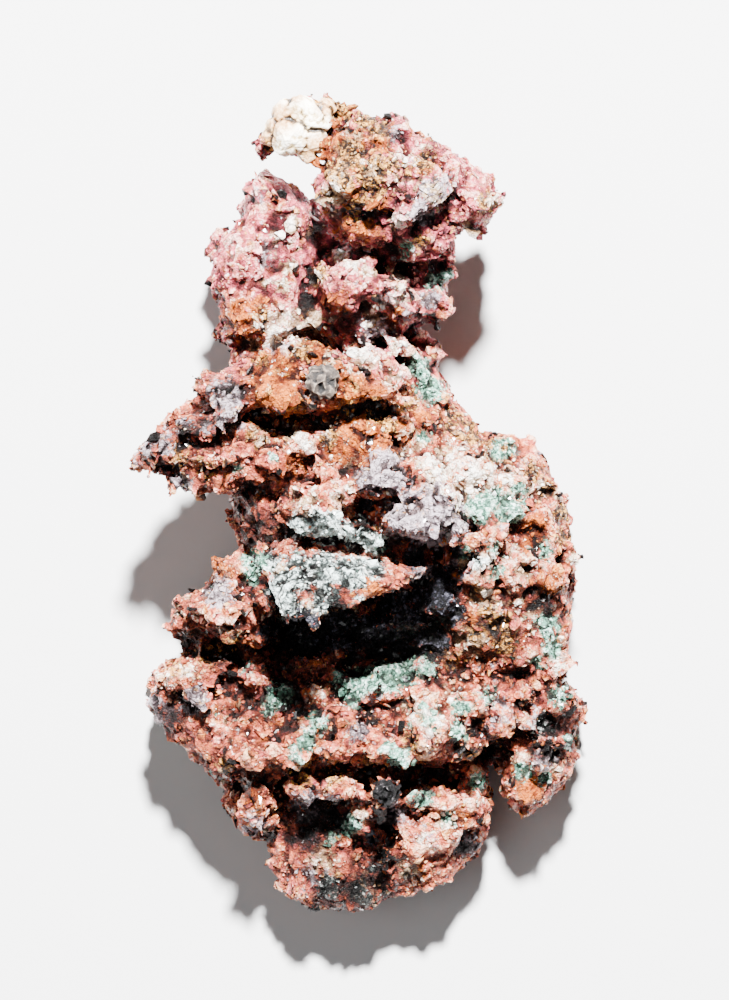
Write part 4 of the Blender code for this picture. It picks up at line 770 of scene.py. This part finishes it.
def crusted_copper(name, own_grain_share):
    """Copper with its crusts. own_grain_share is how much of each grain's number is its mesh's."""
    material, tree, shader = new_material(name)
    grains = add_group(tree, grains_group, {"Grain Size mm": 0.34, "Stretch mm": 1.3})
    specks = add_group(tree, grains_group, {"Grain Size mm": 0.16, "Stretch mm": 0.5})
    patches = add_group(tree, grains_group, {"Grain Size mm": 2.4, "Stretch mm": 3.0})
    (limonite, malachite, chalk), (tenorite, dust, coal_and_painted_shade), (ochre, pale_and_painted_light, painted_shade) = (
        split(tree, name) for name in ("crust", "coat", "ochre_and_painted_light_shade"))
    own_grain, height = stored(tree, "grain"), stored(tree, "height")
    cell_numbers, fine_numbers = three_numbers(grains["Grains"]), three_numbers(grains["Fines"])
    speck_numbers, patch_numbers = three_numbers(specks["Grains"]), three_numbers(patches["Fines"])

    def number_of(start):
        """A number of its own for one mineral: by grain, but running over the grains' borders."""
        which, mirrored = start % 3, start % 6 > 2
        own = add_math("FRACT", times(own_grain, 3.7 + 2.3 * start), 0.0)
        number = add_shares(
            (own, 0.55 * own_grain_share), (cell_numbers[which], 0.55 * (1 - own_grain_share)),
            (patch_numbers[which], 0.15), (fine_numbers[which], 0.15), (speck_numbers[which], 0.15))
        return minus(1.0, number) if mirrored else number

    # The shade, grain by grain, with painted light on the paler patches and on what stands out, and painted
    # shade on the dark patches and in crevices.
    shade = add_shares(
        (number_of(6), 0.52), (speck_numbers[1], 0.12), (fine_numbers[1], 0.12), (grains["Soft"], 0.22),
        (pale_and_painted_light, 0.18), (painted_shade, -0.25), (height, 0.32), more=0.07, clamp=True)

    # Bare copper: salmon towards the tail, mauve towards the head, and rust grain by grain. The
    # near-white top stops show on the palest grains and, as painted highlight, where painted
    # light lifts the shade.
    salmon = add_ramp(shade, [
        (0.10, (0.005, 0.002, 0.001)), (0.27, (0.030, 0.006, 0.004)), (0.40, (0.12, 0.021, 0.011)),
        (0.56, (0.29, 0.054, 0.026)), (0.76, (0.66, 0.150, 0.062)), (0.93, (0.97, 0.55, 0.34))])
    mauve = add_ramp(shade, [
        (0.10, (0.005, 0.002, 0.003)), (0.27, (0.028, 0.006, 0.010)), (0.40, (0.115, 0.019, 0.028)),
        (0.56, (0.28, 0.044, 0.064)), (0.76, (0.66, 0.120, 0.150)), (0.93, (0.97, 0.55, 0.50))])
    rust = add_ramp(shade, [
        (0.10, (0.005, 0.002, 0.001)), (0.30, (0.040, 0.010, 0.003)), (0.48, (0.150, 0.034, 0.008)),
        (0.72, (0.36, 0.105, 0.010)), (0.90, (0.80, 0.42, 0.12))])
    along = add_node(tree, "ShaderNodeSeparateXYZ", {
        "Vector": add_node(tree, "ShaderNodeTexCoord").outputs["Object"]}).outputs[1]
    headward = rise(along, 0.004, 0.011)
    pinkness = add_shares((headward, 1.0), (number_of(8), 2.0), more=-0.92, clamp=True)
    colour = mix_colours(tree, pinkness, salmon, mauve)
    rusty = times(rise(number_of(10), 0.56, 0.70), 0.75)
    colour = mix_colours(tree, rusty, colour, rust)

    # The minerals over it, one after the other: (amount, how ragged its edges are, what its
    # shades follow, contrast, and its dark, middle and light colours).
    # sugar follows fine specks and, through height, adds painted light on what stands out and painted shade
    # in crevices.
    sugar = add_shares((speck_numbers[2], 0.55), (fine_numbers[2], 0.35), (height, 0.25))
    dust_shade = add_shares((shade, 0.7), (sugar, 0.45), more=-0.08)
    layers = (
        (plus(tenorite, 0.12), 1.5, shade, 1.9,
         (0.005, 0.003, 0.003), (0.070, 0.050, 0.056), (0.52, 0.43, 0.47)),
        (plus(limonite, 0.06), 1.4, shade, 1.5,
         (0.018, 0.003, 0.001), (0.18, 0.027, 0.004), (0.56, 0.145, 0.020)),
        (plus(ochre, 0.06), 1.5, sugar, 2.5,
         (0.016, 0.006, 0.002), (0.20, 0.074, 0.012), (0.68, 0.34, 0.085)),
        (add_shares((chalk, 0.60), more=0.09), 1.5, shade, 1.6,
         (0.08, 0.045, 0.024), (0.52, 0.33, 0.17), (0.99, 0.96, 0.88)),
        (dust, 1.1, dust_shade, 2.3,
         (0.003, 0.003, 0.003), (0.045, 0.058, 0.055), (0.80, 0.94, 0.90)),
        (plus(malachite, 0.02), 1.5, sugar, 1.6,
         (0.022, 0.050, 0.037), (0.17, 0.42, 0.30), (0.80, 0.98, 0.91)),
        # Blue-black grains, also laid over deep recesses as painted shade.
        (coal_and_painted_shade, 1.0, sugar, 1.5,
         (0.001, 0.001, 0.001), (0.006, 0.006, 0.009), (0.09, 0.09, 0.12)),
    )
    masks = []
    for number, (amount, raggedness, tint, contrast, dark, middle, light) in enumerate(layers):
        layer = add_group(tree, layer_group, {
            "Under": colour, "Amount": amount, "Grains": number_of(number), "Raggedness": raggedness,
            "Shade": tint, "Contrast": contrast,
            "Dark": (*dark, 1), "Middle": (*middle, 1), "Light": (*light, 1)})
        colour = layer["Colour"]
        masks.append(layer["Mask"])

    # Crevices are darkened, as painted shade with dark dirt, and the thin cracks between plates are
    # dark lines.
    crevice = add_ramp(plus(times(height, 0.5), 0.5), [
        (0.0, (0.03, 0.018, 0.014)), (0.20, (0.12, 0.08, 0.07)), (0.36, (0.50, 0.43, 0.41)),
        (0.50, (1, 1, 1))])
    cracked = add_ramp(grains["Cracks"], [(0.0, (0.13, 0.07, 0.06)), (1.0, (1, 1, 1))])
    # Painted shade: the dark patches darken the colour.
    painted_shade_tint = add_ramp(painted_shade, [(0.0, (1, 1, 1)), (1.0, (0.40, 0.33, 0.31))])
    for darkening, share in ((crevice, 1.0), (cracked, 0.75), (painted_shade_tint, 1.0)):
        colour = mix_colours(tree, share, colour, darkening, "MULTIPLY")
    tree.links.new(colour, shader.inputs["Base Color"])

    # Ochre, chalk and malachite are dull. Some of the other grains are polished, and glint.
    shader.inputs["Specular IOR Level"].default_value = 0.2
    shader.inputs["Coat Roughness"].default_value = 0.2
    polish = number_of(7)
    tree.links.new(rise(polish, 0.38, 0.30, top=0.7), shader.inputs["Coat Weight"])
    dull = plus(masks[2], plus(masks[3], masks[5]), clamp=True)
    tree.links.new(times(minus(1.0, dull), 0.22), shader.inputs["Metallic"])
    rough = add_ramp(polish, [(0.28, grey(0.14)), (0.38, grey(0.44)), (0.8, grey(0.75))])
    tree.links.new(rough, shader.inputs["Roughness"])
    fine_relief = three_numbers(specks["Fines"])[0]
    relief = add_shares((fine_relief, 1.0), (speck_numbers[0], 0.6), (fine_numbers[1], 1.2))
    roughen(tree, shader, relief, strength=1.0, depth=0.00008)
    return material


copper.data.materials.clear()
copper.data.materials.append(crusted_copper("crusted copper", own_grain_share=0.5))


def bring_to_metres(piece):
    """Keep the piece above the table, turn its millimetres to metres, and keep its faces flat."""
    verts = read_mesh(piece.data)[0]
    verts[:, 2] = np.maximum(verts[:, 2], 0.0)
    piece.data.vertices.foreach_set("co", (verts * MM).ravel())
    piece.data.polygons.foreach_set("use_smooth", [False] * len(piece.data.polygons))
    piece.data.update()


bring_to_metres(copper)
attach(copper, "root")
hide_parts("copper_nugget")


# ----------------------------------------------------------
# The crust's grains: broken crumbs of copper, its ores and calcite, 0.1 to 1 mm across.
# They grew on the copper and sit sunk into it, thicker on the side that faces up.

def add_grains(name, count, front_share, smallest, largest, thin, tilt, sunk, chalky=0.0):
    """Grains of one range of sizes. Their colour carries painted shade at their feet and where the
    copper under them lies in a crevice, and painted light on their tops and where it stands out."""
    places, normals, on = scatter(surface, count, front_share)
    size, half_sizes = random_sizes(count, smallest, largest, thin)
    middles = places + normals * size * thin * (1 - 2 * sunk)
    verts, faces, owner = broken_chips(middles, half_sizes, normals, tilt)
    grains = add_piece(name, verts, faces)
    amounts = amounts_of_minerals_and_painted_light(places, normals[:, 2])[:, owner]
    amounts[2] += chalky
    above = np.einsum("ij,ij->i", verts - places[owner], normals[owner]) / size[owner, 0]
    ground = copper_height[surface[1][on]].mean(axis=1)
    # Painted shade low on each grain, painted light high on it, following the copper's relief too.
    height = np.clip(0.45 * ground[owner] + 1.1 * above / thin - 0.30, -1, 1)
    store_minerals_and_painted_light(grains.data, amounts, chance.random(count)[owner], height)
    grains.data.materials.append(grain_material)
    bring_to_metres(grains)
    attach(grains, "root")


grain_material = crusted_copper("crust grains", own_grain_share=0.9)
add_grains("crust_grains_fine", 8000, front_share=6.0, smallest=0.05, largest=0.12,
           thin=0.9, tilt=0.8, sunk=0.5, chalky=0.2)
add_grains("crust_grains_middle", 8000, front_share=3.0, smallest=0.10, largest=0.27,
           thin=0.6, tilt=0.3, sunk=0.5)
add_grains("crust_grains_coarse", 2000, front_share=2.5, smallest=0.2, largest=0.42,
           thin=0.6, tilt=0.25, sunk=0.55)


# ----------------------------------------------------------
# Calcite at the tip: a cluster of cream-white blocks grown into each other, with worn cleavage
# faces, and dark brown in the grooves as painted shade with dirt. It is seated in the copper
# and its crust.

# The blocks, as (x, y, z, and three half sizes).
CALCITE_BLOCKS = [
    (-3.40, 17.75, 9.55, 1.05, 0.95, 0.95), (-2.70, 18.90, 9.55, 1.10, 0.90, 0.95),
    (-3.45, 18.85, 9.30, 0.85, 0.90, 0.80), (-3.90, 18.25, 9.20, 0.75, 0.85, 0.70),
    (-2.05, 18.60, 9.45, 0.80, 0.85, 0.80), (-2.35, 17.55, 9.40, 0.75, 0.80, 0.75),
    (-2.90, 18.20, 9.10, 1.10, 1.25, 0.90), (-1.60, 19.20, 9.30, 0.55, 0.50, 0.60),
    (-2.60, 16.95, 9.20, 0.55, 0.50, 0.65), (-4.35, 17.75, 9.10, 0.50, 0.50, 0.60),
]
# Where the calcite is stained tan: (x, y, radius).
CALCITE_STAINS = [
    (-3.95, 18.6, 0.75), (-2, 17.2, 0.65), (-2.4, 16.7, 0.5), (-1.5, 19.3, 0.6), (-3.2, 19.8, 0.45),
    (-4.6, 17.6, 0.5),
]


def fused_lumps(name, blocks, voxel, cell, depth, limit, shapes=ROUND_SHAPES, plates=False):
    """Lumps given as (x, y, z, three half sizes) grown into one, with a broken surface."""
    blocks = np.array(blocks)
    upright = np.tile((0.0, 0.0, 1.0), (len(blocks), 1))
    verts, faces, _ = broken_chips(blocks[:, :3], blocks[:, 3:], upright, 0.15, shapes)
    made = add_piece(name, verts, faces)
    fuse(made, voxel)
    add_displace(made, name + " cells", cell, depth, 0.2 if plates else 0.4, plates)
    apply_modifiers(made)
    thin_out = made.modifiers.new("thin out", "DECIMATE")
    thin_out.ratio = min(1.0, limit / len(read_mesh(made.data)[1]))
    apply_modifiers(made)
    whole = read_mesh(made.data)
    heights = standing_out(whole[0], whole[1], vertex_normals(*whole), rounds=30) / (1.3 * voxel)
    store(made.data, "height", np.clip(heights, -1, 1))
    return made


def stone_material(name, stops, grain_mm, rough, start, bump=0.00005, stain=None):
    """A plain mineral: its colour runs from painted shade in crevices to painted light on peaks,
    and varies grain by grain.
    """
    material, tree, shader = new_material(name)
    grains = add_group(tree, grains_group, {"Grain Size mm": grain_mm, "Stretch mm": grain_mm * 4})
    cell_number, fine_number = three_numbers(grains["Grains"])[0], three_numbers(grains["Fines"])[0]
    shade = add_shares((stored(tree, "height"), 0.34), (cell_number, 0.16), (fine_number, 0.16),
                       (grains["Soft"], 0.22), more=start)
    colour = add_ramp(shade, stops)
    if stain is not None:
        stained = stored(tree, "stain")
        ragged = times(times(minus(fine_number, 0.5), 0.7), stained)
        stained = mix_colours(tree, plus(stained, ragged, clamp=True), (1, 1, 1, 1), stain)
        colour = mix_colours(tree, 1.0, colour, stained, "MULTIPLY")
    tree.links.new(colour, shader.inputs["Base Color"])
    varied = plus(times(cell_number, 0.3), rough - 0.15, clamp=True)
    tree.links.new(varied, shader.inputs["Roughness"])
    roughen(tree, shader, plus(fine_number, cell_number), strength=0.6, depth=bump)
    return material, shader


calcite = fused_lumps("calcite_blocks", CALCITE_BLOCKS, voxel=0.045, cell=0.42, depth=0.17, limit=60000,
                      plates=True)
calcite_verts = read_mesh(calcite.data)[0]
stain = np.max([np.clip(1.6 - np.hypot(calcite_verts[:, 0] - x, calcite_verts[:, 1] - y) / radius, 0, 1)
                for x, y, radius in CALCITE_STAINS], axis=0)
store(calcite.data, "stain", stain)
calcite_look, calcite_shader = stone_material("calcite", [
    (0.16, (0.010, 0.007, 0.004)), (0.32, (0.09, 0.056, 0.026)), (0.44, (0.55, 0.41, 0.20)),
    (0.62, (0.97, 0.93, 0.80))], grain_mm=0.3, rough=0.42, start=0.20, stain=(0.50, 0.30, 0.16, 1))
calcite_shader.inputs["Subsurface Weight"].default_value = 0.1
calcite_shader.inputs["Subsurface Radius"].default_value = (1.0, 0.9, 0.7)
calcite_shader.inputs["Subsurface Scale"].default_value = 0.0004
calcite.data.materials.append(calcite_look)
bring_to_metres(calcite)
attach(calcite, "root")
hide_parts("calcite_crystals")


# ----------------------------------------------------------
# The grey pebble: a rounded grain of the rock that the copper grew in, caught on the ledge.
# It is a round lump with smaller ones all over it, grown into one.

def middle_of(node):
    return np.array([sum(side) / 2 for side in zip(*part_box(node))]) / MM


def cluster(middle, core, count, reach, smallest, largest):
    """A core and smaller lumps all round it, each as (x, y, z, three half sizes)."""
    bits = unit(chance.normal(size=(count, 3)))
    return [(*middle, *core)] + [
        (*(middle + bit * reach), *chance.uniform(smallest, largest, size=3)) for bit in bits]


pebble_blocks = cluster(middle_of("grey_pebble"), core=(0.92, 0.98, 0.86), count=34,
                        reach=(0.56, 0.62, 0.52), smallest=0.28, largest=0.46)
pebble = fused_lumps("grey_pebble_stone", pebble_blocks, voxel=0.04, cell=0.34, depth=0.07, limit=40000,
                     shapes=CHIP_SHAPES[4:], plates=True)
pebble_look, _ = stone_material("grey pebble", [
    (0.10, (0.003, 0.002, 0.002)), (0.34, (0.014, 0.010, 0.008)), (0.60, (0.052, 0.037, 0.029)),
    (0.86, (0.30, 0.235, 0.18))], grain_mm=0.12, rough=0.7, start=0.10, bump=0.00008)
pebble.data.materials.append(pebble_look)
bring_to_metres(pebble)
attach(pebble, "root")
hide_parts("grey_pebble")


# ----------------------------------------------------------
# The black grain near the foot: a small cluster of black, shining crystals that grew on the
# copper. Two lumps below it are its stub.

black_middle = middle_of("black_grain")
black_blocks = cluster(black_middle, core=(0.62, 0.52, 0.60), count=60, reach=(0.60, 0.54, 0.5),
                       smallest=0.10, largest=0.26)
black_blocks += [(0.9, -14.9, black_middle[2] - 0.8, 0.42, 0.45, 0.6),
                 (1.0, -15.4, black_middle[2] - 1.3, 0.34, 0.3, 0.6)]
black_grain = fused_lumps("black_grain_crystals", black_blocks, voxel=0.04, cell=0.22, depth=-0.06,
                          limit=24000, shapes=CHIP_SHAPES[5:])
# Their pale grey top stop is a painted highlight on the peaks of the grains.
black_look, black_shader = stone_material("black crystals", [
    (0.10, (0.001, 0.001, 0.001)), (0.42, (0.002, 0.0018, 0.002)), (0.74, (0.006, 0.005, 0.006)),
    (0.88, (0.36, 0.33, 0.33))], grain_mm=0.10, rough=0.5, start=0.04, bump=0.00008)
black_shader.inputs["Specular IOR Level"].default_value = 0.15
black_grain.data.materials.append(black_look)
bring_to_metres(black_grain)
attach(black_grain, "root")
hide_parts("black_grain")
